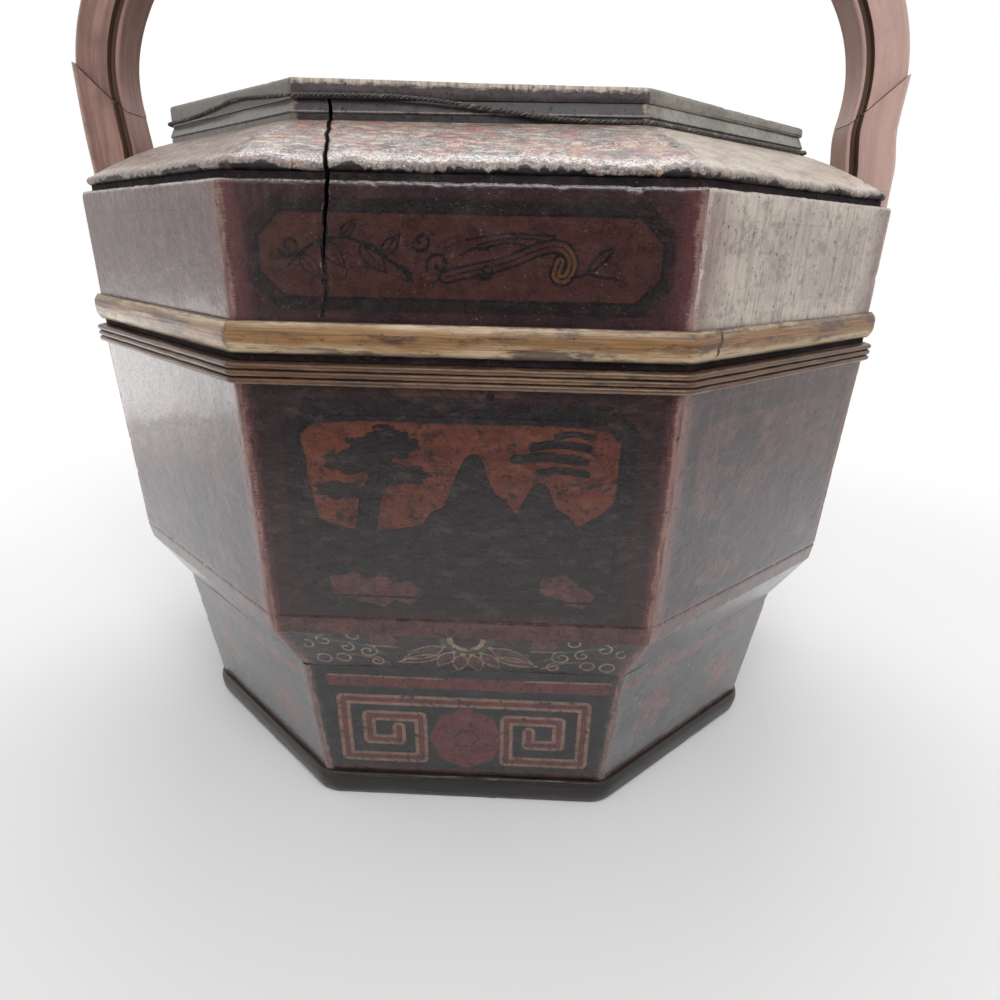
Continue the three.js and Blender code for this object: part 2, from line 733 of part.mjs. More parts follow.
const leg = cut(
  slab(legOutline(), -legHalfWidth, legHalfWidth, legArris),
  legGroove(-legHalfWidth - cutOver, -grooveFloorHalf),
  legGroove(grooveFloorHalf, legHalfWidth + cutOver),
  tenon(jointClear),
  ...pegLevels.map(pegHole),
);
const legOuterAt = (z) => mix(legLowOuter, legTopOuter.x, (z - legEndZ) / (legTopOuter.y - legEndZ));

for (const [side, sign] of [['right', 1], ['left', -1]]) {
  piece(`handle_leg_${side}`, mirrored(leg, sign), handleWood);
  pegLevels.forEach((z, i) => {
    const fromHalf = wallHalfAt(z) - wallThick;
    piece(`handle_peg_${side}_${i + 1}`, mirrored(peg(z, fromHalf, legOuterAt(z)), sign), plainWood);
  });
}

export default basket;
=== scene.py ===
"""Looks of the lacquered wedding basket: fine surfaces, painted ornament and worn finishes round the frame.

Lengths are in millimetres, and are turned into the frame's metres where a mesh is written.
"""
import itertools
import math

import bpy
import numpy as np
from mathutils import Matrix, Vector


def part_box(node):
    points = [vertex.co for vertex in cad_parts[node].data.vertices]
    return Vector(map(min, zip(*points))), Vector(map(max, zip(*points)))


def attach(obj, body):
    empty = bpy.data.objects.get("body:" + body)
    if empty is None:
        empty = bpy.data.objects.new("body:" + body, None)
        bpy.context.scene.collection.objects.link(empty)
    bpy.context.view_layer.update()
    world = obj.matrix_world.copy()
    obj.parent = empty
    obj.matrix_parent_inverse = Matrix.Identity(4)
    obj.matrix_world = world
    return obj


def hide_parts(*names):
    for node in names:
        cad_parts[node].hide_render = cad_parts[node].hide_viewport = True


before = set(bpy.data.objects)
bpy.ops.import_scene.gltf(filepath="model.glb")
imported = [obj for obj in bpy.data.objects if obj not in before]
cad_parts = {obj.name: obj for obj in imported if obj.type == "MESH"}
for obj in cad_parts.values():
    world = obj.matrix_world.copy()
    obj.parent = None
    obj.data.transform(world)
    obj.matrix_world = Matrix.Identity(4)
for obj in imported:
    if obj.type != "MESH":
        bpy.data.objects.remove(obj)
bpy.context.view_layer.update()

TO_MM = 1000.0
SIDES = ["front", "front_right", "right", "back_right", "back", "back_left", "left", "front_left"]
COUNT = len(SIDES)
CORNER_TURN = math.pi / COUNT
CORNER_ROUND = 3.2
ARC_STEPS = 4
LEVEL_SLACK = 0.05

# Heights of the turned and moulded parts of the boards, as the boards are cut
BEVEL_HEIGHT = 21.5
LIP_HEIGHT = 7.6
LIP_STEP = 0.4
QUIRK_HEIGHT = 0.7
WALL_LEDGE = 10.6
LID_ARRIS = 1.2
CREST_RISE, CREST_BACK, CREST_ROUND = 5.4, 0.9, 1.5
COVE_DEEP = 0.35
SHOULDER_CROWN = 1.2
SHOULDER_ROUND = 8.0
COLLAR_STEP = 0.8
COLLAR_FOOT = 2.6
COLLAR_THICK = 11.0
LEDGE_RUN = 6.0
LEDGE_THICK = 6.0
COVE_SET = 1.9
COVE_RUN = 2.2
BAND_CLEAR = 0.15
FOOT_THICK, WALL_THICK, LID_THICK = 8.0, 9.5, 8.0


def mix(a, b, share):
    return a + (b - a) * share


def smooth_step(value, start, end):
    share = np.clip((value - start) / (end - start), 0, 1)
    return share * share * (3 - 2 * share)


# What the frame says

def cad_points(node):
    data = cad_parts[node].data
    flat = np.empty(3 * len(data.vertices))
    data.vertices.foreach_get("co", flat)
    return flat.reshape(-1, 3) * TO_MM


def cad_box(node):
    low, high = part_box(node)
    return np.array(low) * TO_MM, np.array(high) * TO_MM


def z_range(node):
    low, high = cad_box(node)
    return low[2], high[2]


def half_at(node, z):
    """Distance from the axis to the outside of a front board, at one of its levels"""
    points = cad_points(node)
    return -points[np.abs(points[:, 2] - z) < LEVEL_SLACK][:, 1].min()


FOOT_Z, FOOT_TOP_Z = z_range("foot_board_front")
RIM_Z = z_range("body_wall_front")[1]
LIP_Z = FOOT_TOP_Z + BEVEL_HEIGHT
WALL_Z = LIP_Z + LIP_HEIGHT
LEDGE_Z = WALL_Z - WALL_LEDGE
LID_Z, LID_TOP_Z = z_range("lid_wall_front")
COLLAR_Z, TOP_BOARD_Z = z_range("lid_collar_front")
LID_HIGH_Z = z_range("lid_top_board")[1]

FOOT_LOW = half_at("foot_board_front", FOOT_Z)
FOOT_HIGH = half_at("foot_board_front", FOOT_TOP_Z)
LIP_LOW = half_at("body_wall_front", LIP_Z)
WALL_LOW = half_at("body_wall_front", WALL_Z + QUIRK_HEIGHT)
WALL_HIGH = half_at("body_wall_front", RIM_Z)
LID_LOW = half_at("lid_wall_front", LID_Z)
LID_HIGH = -cad_box("lid_wall_front")[0][1]
NOSE = -cad_box("lid_shoulder_front")[0][1]
COLLAR_LOW = half_at("lid_collar_front", COLLAR_Z)
COLLAR_HIGH = half_at("lid_collar_front", TOP_BOARD_Z)

DIAGONAL = np.array([1, -1]) / math.sqrt(2)
SLANT = (cad_points("foot_board_front_right")[:, :2] @ DIAGONAL).max() - FOOT_HIGH


# Noise, worked out in numpy so that the same point always gets the same value

LATTICE_KEYS = np.array([73856093, 19349663, 83492791], dtype=np.int64)
WORD = 0xFFFFFFFF


def noise(points, size, seed=0):
    """Smooth noise from -1 to 1 with features about one size wide"""
    cells = points / size
    base = np.floor(cells).astype(np.int64)
    part = cells - base
    part = part * part * (3 - 2 * part)
    total = np.zeros(len(points))
    for corner in itertools.product((0, 1), repeat=3):
        keys = (base + corner) * LATTICE_KEYS
        key = (keys[:, 0] ^ keys[:, 1] ^ keys[:, 2] ^ (seed * 2654435761)) & WORD
        key = ((key ^ (key >> 13)) * 1274126177) & WORD
        key = ((key ^ (key >> 15)) * 2246822519) & WORD
        value = (key ^ (key >> 16)) / (WORD / 2) - 1
        total += value * np.prod(np.where(corner, part, 1 - part), axis=1)
    return total


# Flat shapes as signed distances, negative inside, for points given as (along, up)

FAR = 9.0


def to_path(points, path):
    """Distance from each point to a path of straight stretches"""
    best = np.full(len(points), FAR ** 2)
    for a, b in zip(np.array(path[:-1], float), np.array(path[1:], float)):
        low, high = np.minimum(a, b) - FAR, np.maximum(a, b) + FAR
        near = np.flatnonzero(((points > low) & (points < high)).all(1))
        if len(near) == 0 or (a == b).all():
            continue
        offset = points[near] - a
        share = np.clip(offset @ (b - a) / ((b - a) @ (b - a)), 0, 1)
        gap = ((offset - share[:, None] * (b - a)) ** 2).sum(1)
        best[near] = np.minimum(best[near], gap)
    return np.sqrt(best)


def stroke(points, path, width):
    return to_path(points, path) - width / 2


def area(points, outline):
    """Signed distance to a closed outline"""
    ring = [*outline, outline[0]]
    inside = np.zeros(len(points), bool)
    for (x0, y0), (x1, y1) in zip(ring[:-1], ring[1:]):
        if y0 != y1:
            crosses = (points[:, 1] < y0) != (points[:, 1] < y1)
            inside ^= crosses & (points[:, 0] < x0 + (points[:, 1] - y0) * (x1 - x0) / (y1 - y0))
    return to_path(points, ring) * np.where(inside, -1, 1)


def box_outline(left, right, low, high, chamfer=0.0):
    """Outline of a box whose corners are cut off"""
    c = chamfer
    return [(left + c, low), (right - c, low), (right, low + c), (right, high - c),
            (right - c, high), (left + c, high), (left, high - c), (left, low + c)]


def disc(points, centre, radius, lobes=0, depth=0.0, stretch=1.0):
    """A disc, or a rosette of shallow lobes"""
    x, y = points[:, 0] - centre[0], (points[:, 1] - centre[1]) / stretch
    turn = np.arctan2(y, x)
    return np.clip(np.hypot(x, y) - radius * (1 + depth * np.cos(lobes * turn)), -FAR, FAR)


def scroll(centre, outer, inner, start, turns, steps=26):
    """Points of a spiral that winds in from its outer radius"""
    shares = np.linspace(0, 1, steps)
    angles = np.radians(start) + 2 * math.pi * turns * shares
    radii = mix(outer, inner, shares)
    return [(centre[0] + r * math.cos(a), centre[1] + r * math.sin(a)) for r, a in zip(radii, angles)]


def bowed(points, steps=7):
    """A smooth curve through a few points"""
    ends = np.array([points[0], *points, points[-1]], float)
    out = []
    for p0, p1, p2, p3 in zip(ends, ends[1:], ends[2:], ends[3:]):
        for t in np.linspace(0, 1, steps, endpoint=False):
            out.append(0.5 * (2 * p1 + (p2 - p0) * t + (2 * p0 - 5 * p1 + 4 * p2 - p3) * t ** 2
                              + (3 * p1 - p0 - 3 * p2 + p3) * t ** 3))
    return [tuple(p) for p in out] + [tuple(ends[-1])]


def petal(root, tip, width, steps=9):
    """Outline of a pointed petal"""
    root, tip = np.array(root, float), np.array(tip, float)
    across = np.array([root[1] - tip[1], tip[0] - root[0]]) / np.linalg.norm(tip - root)
    shares = np.linspace(0, 1, steps)
    swell = np.sin(math.pi * shares ** 0.8) * width / 2
    upper = [tuple(mix(root, tip, s) + across * w) for s, w in zip(shares, swell)]
    lower = [tuple(mix(root, tip, s) - across * w) for s, w in zip(shares, swell)]
    return upper + lower[-2:0:-1]


def flipped(path):
    return [(-x, y) for x, y in path]


PAINTS = ["black", "rust", "red", "green", "gold", "cream", "ink"]


class Canvas:
    """Painted shapes on the points of one face: a signed distance for each kind of paint"""

    def __init__(self, along, up, shown):
        self.points = np.column_stack([along, up])
        self.shown = shown
        self.layers = {paint: np.full(len(along), FAR) for paint in PAINTS}

    def add(self, paint, distance):
        layer = self.layers[paint]
        layer[self.shown] = np.minimum(layer[self.shown], distance[self.shown])

    def spare(self, paint, distance):
        """Keeps a paint out of a shape"""
        layer = self.layers[paint]
        layer[self.shown] = np.maximum(layer[self.shown], -distance[self.shown])

    def stroke(self, paint, path, width):
        self.add(paint, stroke(self.points, path, width))

    def fill(self, paint, outline):
        self.add(paint, area(self.points, outline))

    def outline(self, paint, outline, width, set_in=0.0):
        self.add(paint, np.abs(area(self.points, outline) + set_in) - width / 2)

    def disc(self, paint, *place, **shape):
        self.add(paint, disc(self.points, *place, **shape))

    def ring(self, paint, reach, *place, **shape):
        """A line along the edge of a disc, which reaches as far to each side of it"""
        self.add(paint, np.abs(disc(self.points, *place, **shape)) - reach)


# Painted ornament. Each function paints one face, with along from its middle and up from its lower edge.

FRET_HALF = [(26.3, 36.8), (26.3, 29.8), (38.3, 29.8), (38.3, 42.6), (17.3, 42.6), (17.3, 20.2),
             (48.0, 20.2), (48.0, 50.9)]
FRET_WIDTH = 4.9


def paint_foot_front(canvas):
    path = flipped(FRET_HALF) + FRET_HALF[::-1]
    canvas.stroke("red", path, FRET_WIDTH)
    edge = np.abs(stroke(canvas.points, path, FRET_WIDTH - 1.2)) - 0.75
    canvas.add("cream", edge)
    canvas.disc("red", (1, 32), 14.2, lobes=8, depth=0.035, stretch=1.1)
    canvas.disc("rust", (1, 32), 9.5, lobes=8, depth=0.16, stretch=1.1)
    canvas.ring("ink", 0.35, (1, 32), 4.4, lobes=6, depth=0.12)
    canvas.fill("red", box_outline(-54, 58, 57.6, 63.2))
    canvas.stroke("cream", [(-53, 62.9), (-8, 62.5)], 0.7)
    canvas.stroke("cream", [(24, 62.9), (57, 63.3)], 0.9)
    canvas.fill("rust", box_outline(-53, 55, 12.6, 15.0))


def paint_foot_side(canvas, turn):
    """Clouds in faded red with cream dots, in another place on each side"""
    shift = 7 * math.cos(2.1 * turn)
    for centre, radius, squash in [((-22 + shift, 38), 11, 1.1), ((24 - shift, 35), 12.5, 0.95)]:
        canvas.disc("rust", centre, radius, lobes=5, depth=0.16, stretch=squash)
        canvas.disc("red", centre, radius * 0.55, lobes=5, depth=0.2, stretch=squash)
    for along, up in [(-38, 50), (-34, 46), (-3, 22), (2, 26), (39, 51), (4, 47), (-1, 51)]:
        canvas.disc("cream", (along + shift, up), 1.0)
    canvas.fill("red", box_outline(-54, 54, 58, 62.6))
    canvas.fill("rust", box_outline(-53, 53, 12.6, 15.0))


def paint_scrollwork(canvas, centre):
    """Cream scrolls and rings at the two ends of a bevel"""
    for mirror in (1, -1):
        def place(x, y):
            return (centre + mirror * x, y)
        for x, y, radius in [(46, 6, 2.6), (53.5, 5.2, 2.7), (40, 20.5, 2.1)]:
            canvas.ring("cream", 0.38, place(x, y), radius)
        for x, y, outer, turns in [(36, 11, 4.2, 1.35), (33.5, 4.4, 3.0, 1.2), (43.5, 13, 3.2, 1.1),
                                   (51, 17, 3.4, -1.0), (58, 14, 3.0, 0.8)]:
            canvas.stroke("cream", scroll(place(x, y), outer, 0.8, 90, mirror * turns), 0.75)
        canvas.stroke("green", bowed([place(30, 9), place(38, 15), place(47, 17), place(56, 20)]), 1.7)
        canvas.stroke("gold", bowed([place(29, 3), place(36, 7), place(43, 8.5)]), 1.1)
        left, right = sorted((centre + mirror * 24.5, centre + mirror * 34))
        canvas.fill("red", box_outline(left, right, 14.5, 21.8, 2))
        canvas.stroke("cream", [place(24.5, 14.3), place(34, 14.6)], 0.7)


ROSETTE = np.array([2.2, 20.5])


def paint_bevel_front(canvas):
    """Half a rosette hanging from the lip, between scrolls"""
    canvas.fill("black", box_outline(-70, 70, -2, 21))
    x, y = ROSETTE
    petals = [(-90 + turn, 22.0, 6.4) for turn in (-33, -11, 11, 33)]
    petals += [(-90 + turn, 28.5, 7.4) for turn in (-60, 60)]
    for angle, reach, width in petals:
        out = np.array([math.cos(math.radians(angle)), math.sin(math.radians(angle))])
        shape = petal(ROSETTE + 9.5 * out, ROSETTE + reach * out, width)
        canvas.fill("red", shape)
        canvas.outline("cream", shape, 0.6, 0.35)
        canvas.stroke("ink", [ROSETTE + 11 * out, ROSETTE + (reach - 4) * out], 0.55)
    for mirror in (1, -1):
        leaf = petal((x + mirror * 10, y - 11), (x + mirror * 27, y - 16.5), 5.4)
        canvas.fill("red", leaf)
        canvas.outline("cream", leaf, 0.7, 0.3)
        canvas.stroke("green", bowed([(x + mirror * 7, y - 3), (x + mirror * 13, y - 8),
                                      (x + mirror * 22, y - 9)]), 2.2)
    ring = np.hypot(canvas.points[:, 0] - x, canvas.points[:, 1] - y)
    canvas.add("green", np.abs(ring - 8.6) - 1.4)
    canvas.add("cream", np.abs(ring - 6.0) - 1.0)
    canvas.add("ink", ring - 3.6)
    for turn in (-152, -122, -100, -80, -58, -28):
        dot = (x + 9.6 * math.cos(math.radians(turn)), y + 9.6 * math.sin(math.radians(turn)))
        canvas.disc("cream", dot, 1.0)
    paint_scrollwork(canvas, 1.0)


def paint_bevel_side(canvas, turn):
    canvas.fill("black", box_outline(-70, 70, -2, 21))
    paint_scrollwork(canvas, 0.0)
    canvas.disc("red", (0, 12), 6.5, lobes=6, depth=0.22)
    canvas.ring("cream", 0.4, (0, 12), 7.0, lobes=6, depth=0.22)
    canvas.disc("green", (0, 12), 2.4)
    for mirror in (1, -1):
        canvas.fill("green", petal((mirror * 9, 12), (mirror * 21, 9 + 2 * math.cos(turn)), 4.4))


def paint_frame(canvas, left, right, low, high, width, chamfer):
    outer = box_outline(left, right, low, high, chamfer)
    inner = box_outline(left + width, right - width, low + width, high - width, chamfer * 0.85)
    canvas.fill("black", outer)
    canvas.outline("ink", inner, 0.9)
    return inner


def blossom(canvas, centre, radius):
    canvas.disc("black", centre, radius, lobes=5, depth=0.22)
    canvas.ring("ink", 0.25, centre, radius, lobes=5, depth=0.22)
    canvas.disc("gold", centre, radius * 0.3)


def cloud_streaks(canvas, x, y, reach, mirror=1):
    """Flat clouds: tapering streaks that leave the ground colour showing in the sky"""
    for along, up, length, width in [(0, 0, 1.0, 0.13), (0.25, 0.2, 0.8, 0.11), (0.35, -0.2, 0.7, 0.1),
                                     (0.6, 0.36, 0.5, 0.08)]:
        path = bowed([(x + mirror * along * reach, y + up * reach),
                      (x + mirror * (along + 0.45 * length) * reach, y + (up + 0.05) * reach),
                      (x + mirror * (along + length) * reach, y + up * reach)])
        streak = stroke(canvas.points, path, width * reach)
        canvas.spare("rust", streak)
        canvas.add("ink", np.abs(streak) - 0.28)


def pine(canvas, foot, height, lean):
    """A leaning pine with flat pads of needles, dark before the sky"""
    x, y = foot
    trunk = bowed([(x - 0.3 * lean, y - 6), (x, y + 0.12 * height), (x + 0.25 * lean, y + 0.4 * height),
                   (x + 0.8 * lean, y + 0.66 * height), (x + lean, y + height)])
    shape = stroke(canvas.points, trunk, 6.5)
    for along, up, radius in [(1.0, 1.0, 11), (-0.5, 0.82, 10), (2.0, 0.7, 9), (-1.4, 0.5, 8)]:
        pad = disc(canvas.points, (x + along * lean, y + up * height), radius, lobes=7, depth=0.13,
                   stretch=0.4)
        shape = np.minimum(shape, pad)
    canvas.spare("rust", shape)
    canvas.add("ink", np.abs(shape) - 0.35)
    canvas.stroke("ink", trunk[6:], 0.7)


def hills(canvas, low, peaks, shift):
    """Overlapping dark hills before the sky"""
    for along, height, width in peaks:
        x = along + shift
        ridge = bowed([(x - width, low - 6), (x - 0.62 * width, low + 0.3 * height),
                       (x - 0.4 * width, low + 0.42 * height), (x - 0.1 * width, low + 0.97 * height),
                       (x + 0.12 * width, low + height), (x + 0.3 * width, low + 0.62 * height),
                       (x + 0.6 * width, low + 0.4 * height), (x + width, low - 6)], 5)
        shape = area(canvas.points, ridge)
        canvas.spare("rust", shape)
        canvas.add("ink", np.abs(shape) - 0.4)
        canvas.stroke("ink", bowed([(x, low + 0.9 * height), (x + 0.05 * width, low + 0.5 * height),
                                    (x - 0.1 * width, low + 0.2 * height)]), 0.5)


def paint_wall(canvas, turn, height):
    """A framed landscape: hills, a pine and clouds before an orange sky, with rocks and water below"""
    shift = 6 * math.sin(1.7 * turn)
    inner = paint_frame(canvas, -57, 57, 4, height - 11.0, 5.0, 8)
    sky = area(canvas.points, bowed([(-47, 38), (-30, 34), (-8, 37), (14, 31), (34, 36), (50, 46), (51, 60),
                                     (47, 71), (0, 72), (-46, 71), (-50, 60), (-47, 38)], 4))
    canvas.add("rust", np.maximum(sky, area(canvas.points, inner) + 1.0))
    canvas.fill("red", box_outline(-22, 18, height - 9.5, height - 5.0, 1.5))
    hills(canvas, 32, [(4, 29, 22), (26, 20, 19)], shift)
    pine(canvas, (-31 + shift, 33), 31, 6)
    cloud_streaks(canvas, 18 + shift, 61, 22)
    cloud_streaks(canvas, -14 + shift, 66, 12, -1)
    for along, up, radius in [(-38, 13, 7), (-29, 11, 8), (-19, 11, 6), (34, 15, 6.5), (41, 11, 5.5)]:
        canvas.disc("red", (along + shift, up), radius, lobes=5, depth=0.1, stretch=0.7)
    for along, up, reach in [(-8, 20, 18), (12, 12, 20), (-26, 25, 14), (28, 23, 15), (4, 27, 12)]:
        wave = [(along + shift + reach * t, up + 0.8 * math.sin(5 * t)) for t in np.linspace(-0.5, 0.5, 9)]
        canvas.stroke("ink", wave, 0.55)
    if turn == 0:
        canvas.stroke("ink", [(11.2, 26), (11.5, 14), (11.3, 6), (11.8, -7)], 0.3)
        canvas.disc("ink", (9.7, 81.2), 1.3)


def paint_lid_wall(canvas, turn, height):
    """A long cartouche with a looping ribbon, curled clouds and a sprig"""
    low, high = 15.6, height - 4.6
    inner = paint_frame(canvas, -63, 63, low, high, 3.7, 8.5)
    canvas.fill("rust", inner)
    mid = (low + high) / 2
    shift = 2.5 * math.sin(2.3 * turn)
    sash = bowed([(-4 + shift, mid - 5.5), (4, mid - 3.5), (14, mid - 1), (24, mid + 3), (30, mid + 3.4),
                  (33, mid - 0.5), (31.5, mid - 5), (28.5, mid - 4.5), (29.5, mid - 0.5)])
    canvas.stroke("rust", sash, 3.4)
    canvas.stroke("gold", sash[28:], 2.6)
    canvas.add("ink", np.abs(stroke(canvas.points, sash, 3.4)) - 0.4)
    canvas.stroke("ink", sash, 0.6)
    knot = bowed([(33, mid - 5), (38, mid - 3.5), (43, mid + 0.5), (44.5, mid + 3), (41, mid + 2),
                  (38, mid - 3.5), (47, mid - 5)])
    canvas.stroke("ink", knot, 1.0)
    for along, up, reach in [(2, 6.5, 26), (5, 5.2, 20), (6, 3.8, 14), (0, 2.2, 9)]:
        plume = bowed([(along + shift, mid + up - 1.5), (along + 0.5 * reach, mid + up + 0.5),
                       (along + reach, mid + up)])
        canvas.stroke("black", plume, 1.7)
        canvas.stroke("ink", plume, 0.7)
    for x, y, outer, turns in [(-50, 2.5, 3.4, 1.2), (-6, -2, 3.6, -1.1), (-11, 4.5, 3.2, 1.1),
                               (8, -3.5, 2.6, 1.0)]:
        canvas.stroke("ink", scroll((x, mid + y), outer, 0.7, 200, turns), 1.0)
    stem = bowed([(-51, mid - 3.5), (-43, mid + 3.0), (-33, mid + 5), (-24, mid + 1), (-15, mid - 4.5)])
    canvas.stroke("ink", stem, 1.0)
    for spot, sway, reach in [(4, -1, 6.5), (9, -1, 7.5), (13, 1, 5), (17, -1, 8.5), (22, 1, 6), (25, -1, 5)]:
        x, y = stem[spot]
        leaf = petal((x, y), (x + 0.9 * reach, y + reach * sway), 0.62 * reach)
        canvas.fill("black", leaf)
        canvas.outline("ink", leaf, 0.7)
        canvas.stroke("ink", [(x, y), (x + 0.7 * reach, y + 0.8 * reach * sway)], 0.6)
    for x, y, radius in [(-17, 4.6, 3.2), (-2, 0.5, 2.8), (-9, -6, 2.4)]:
        blossom(canvas, (x, mid + y), radius)
    # Painted shade: ink along the wall's foot by the band and along its top ledge under the shoulder's nose
    canvas.fill("ink", box_outline(-70, 70, -2, 2.6))
    canvas.fill("ink", box_outline(-75, 75, height - 0.5, height + 2))


# Board meshes

class Profile:
    """Section of a board: the shown outside from below upwards, then the plain inside back down"""

    def __init__(self, outside, inside, step, ridges=(), base_round=None, rounding=CORNER_ROUND):
        shown = [outside[0]]
        for start, end in zip(outside, outside[1:]):
            count = max(1, math.ceil(math.dist(start, end) / step))
            shown += [tuple(mix(np.array(start), np.array(end), i / count)) for i in range(1, count + 1)]
        points = np.array(shown + list(inside), float)
        self.half, self.z = points[:, 0], points[:, 1]
        self.shown = np.arange(len(points)) < len(shown)
        self.round = np.where(self.shown, rounding, 0.0)
        if base_round is not None:
            self.round = CORNER_ROUND + self.half - base_round(self.z)
        self.ridge = np.full(len(points), FAR)
        for level in ridges:
            gap = np.hypot(self.half - level[0], self.z - level[1])
            self.ridge = np.minimum(self.ridge, gap)
        self.run = np.concatenate([[0], np.cumsum(np.linalg.norm(np.diff(points, axis=0), axis=1))])
        along = np.gradient(points, axis=0)
        normal = np.column_stack([along[:, 1], -along[:, 0]])
        self.normal = normal / np.maximum(np.linalg.norm(normal, axis=1), 1e-9)[:, None]


def eased(half, z, size, steps=4):
    """Points of an upper outer edge worked round"""
    turns = np.linspace(0, math.pi / 2, steps)
    return [(half - size + size * math.cos(t), z - size + size * math.sin(t)) for t in turns]


def side_axes(side):
    angle = -math.pi / 2 + 2 * CORNER_TURN * side
    return np.array([math.cos(angle), math.sin(angle)]), np.array([-math.sin(angle), math.cos(angle)])


def slant(side):
    return SLANT if side % 2 else 0.0


def flat_end(half, rounding, side, neighbour):
    """Half-length of the flat of a side at each row, towards one neighbour"""
    own = half + slant(side) - rounding
    other = half + slant(neighbour) - rounding
    return (other - own * math.cos(2 * CORNER_TURN)) / math.sin(2 * CORNER_TURN)


class Grid:
    """Points of one board, or of the part of it on one side of a split"""

    def __init__(self, profile, side, step, split=None, part=0):
        pull = np.where(profile.shown, 0, CORNER_ROUND * math.tan(CORNER_TURN))
        left = -flat_end(profile.half, profile.round, side, side - 1) + pull
        right = flat_end(profile.half, profile.round, side, side + 1) - pull
        start, end = left, right
        arcs = np.linspace(1, 0, ARC_STEPS, endpoint=False)
        left_turns, right_turns = arcs, arcs[::-1]
        if part < 0:
            end, right_turns = split[0], np.array([])
        if part > 0:
            start, left_turns = split[1], np.array([])
        columns = max(3, math.ceil((end - start).max() / step))
        shares = np.linspace(0, 1, columns + 1)
        flat = start[:, None] + (end - start)[:, None] * shares
        rounding = profile.round[:, None]

        def bend(edge, turns, sign):
            angle = turns * CORNER_TURN
            offset = rounding * np.sin(angle) + pull[:, None] * turns
            depth = rounding * (np.cos(angle) - 1)
            return edge[:, None] + sign * offset, depth, sign * np.broadcast_to(angle, offset.shape)
        stretches = [bend(left, left_turns, -1), (flat, 0 * flat, 0 * flat), bend(right, right_turns, 1)]
        self.along = np.hstack([s[0] for s in stretches])
        self.depth = np.hstack([s[1] for s in stretches]) + profile.half[:, None] + slant(side)
        self.turn = np.hstack([s[2] for s in stretches])
        self.edge = np.minimum(self.along - left[:, None], right[:, None] - self.along)
        self.shape = self.along.shape
        self.profile, self.side = profile, side

    def spread(self, row):
        return np.broadcast_to(row[:, None], self.shape)

    def positions(self, relief=None):
        out, tangent = side_axes(self.side)
        flat = self.depth[..., None] * out + self.along[..., None] * tangent
        points = np.dstack([flat, self.spread(self.profile.z)])
        if relief is None:
            return points
        lean = np.cos(self.turn)[..., None] * out + np.sin(self.turn)[..., None] * tangent
        normal = np.dstack([lean * self.spread(self.profile.normal[:, 0])[..., None],
                            self.spread(self.profile.normal[:, 1])])
        return points + normal * np.where(self.spread(self.profile.shown), relief, 0)[..., None]


def unevenness(points, grid, chip, fray):
    """Hand-planed waviness, chips along the corners and ridges, and paint frayed into fine ribs at a ridge"""
    flat = points.reshape(-1, 3)
    edge, ridge = grid.edge, grid.spread(grid.profile.ridge)
    wave = 0.16 * noise(flat, 46, 1) + 0.06 * noise(flat, 11, 2) + 0.035 * noise(flat, 4.5, 5)
    chips = np.clip(noise(flat, 3.4, 3) + 0.5 * noise(flat, 1.6, 4) - 0.35, 0, 1)
    near = np.exp(-(np.minimum(np.maximum(edge, 0), ridge) / (1.4 + 4 * fray)) ** 2).ravel()
    keys = np.column_stack([grid.along.ravel() / 1.7, grid.spread(grid.profile.run).ravel() / 9,
                            0 * near + grid.side])
    ribs = noise(keys, 1.0, 6) * np.exp(-(ridge / 5.5) ** 2).ravel()
    return (wave - chip * chips * near + fray * ribs).reshape(edge.shape)


def quads(rows, columns, round_rows=False, round_columns=True):
    """Faces between the neighbouring points of a grid, which may close on itself either way"""
    i = np.arange(rows if round_rows else rows - 1)[:, None]
    j = np.arange(columns if round_columns else columns - 1)[None, :]
    k, m = (i + 1) % rows, (j + 1) % columns
    corners = [i * columns + j, i * columns + m, k * columns + m, k * columns + j]
    return np.stack(corners, axis=-1).reshape(-1, 4)


def turned_faces(rings, sides):
    """Faces of a shape built of rings, closed by its first and its last ring"""
    first, last = list(range(sides)), list(range((rings - 1) * sides, rings * sides))
    return quads(rings, sides).tolist() + [first[::-1], last]


def board_faces(rows, columns, first):
    """Faces of a board whose rows go round its section, with its two mitred ends"""
    end = first + np.arange(rows) * columns
    faces = (first + quads(rows, columns, True, False)).tolist()
    return faces + [end.tolist(), (end + columns - 1)[::-1].tolist()]


SMOOTH_ANGLE = math.radians(38)

# How far the grain is shifted from side to side, how far an edge is felt, and where a split counts as open
SIDE_SHIFT = 210
EDGE_REACH = 40
CRACK_REACH, OPEN_CRACK, LEAST_CRACK = 1.1, 0.1, 0.02


def make_piece(name, points, faces, materials, body, nodes, attributes=None, choice=None):
    """Writes a mesh in metres, with its attributes and finishes, hangs it on what it rides on and hides the
    frame's parts it stands for
    """
    mesh = bpy.data.meshes.new(name)
    mesh.from_pydata((np.asarray(points) / TO_MM).tolist(), [], faces)
    for label, values in (attributes or {}).items():
        values = np.ascontiguousarray(values, dtype=np.float32)
        kind, key = ("FLOAT_VECTOR", "vector") if values.ndim == 2 else ("FLOAT", "value")
        mesh.attributes.new(label, kind, "POINT").data.foreach_set(key, values.ravel())
    for material in materials:
        mesh.materials.append(material)
    if choice is not None:
        mesh.polygons.foreach_set("material_index", np.asarray(choice, dtype=np.int32))
    mesh.shade_smooth()
    mesh.set_sharp_from_angle(angle=SMOOTH_ANGLE)
    mesh.update()
    piece = bpy.data.objects.new(name, mesh)
    bpy.context.scene.collection.objects.link(piece)
    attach(piece, body)
    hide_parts(*nodes)


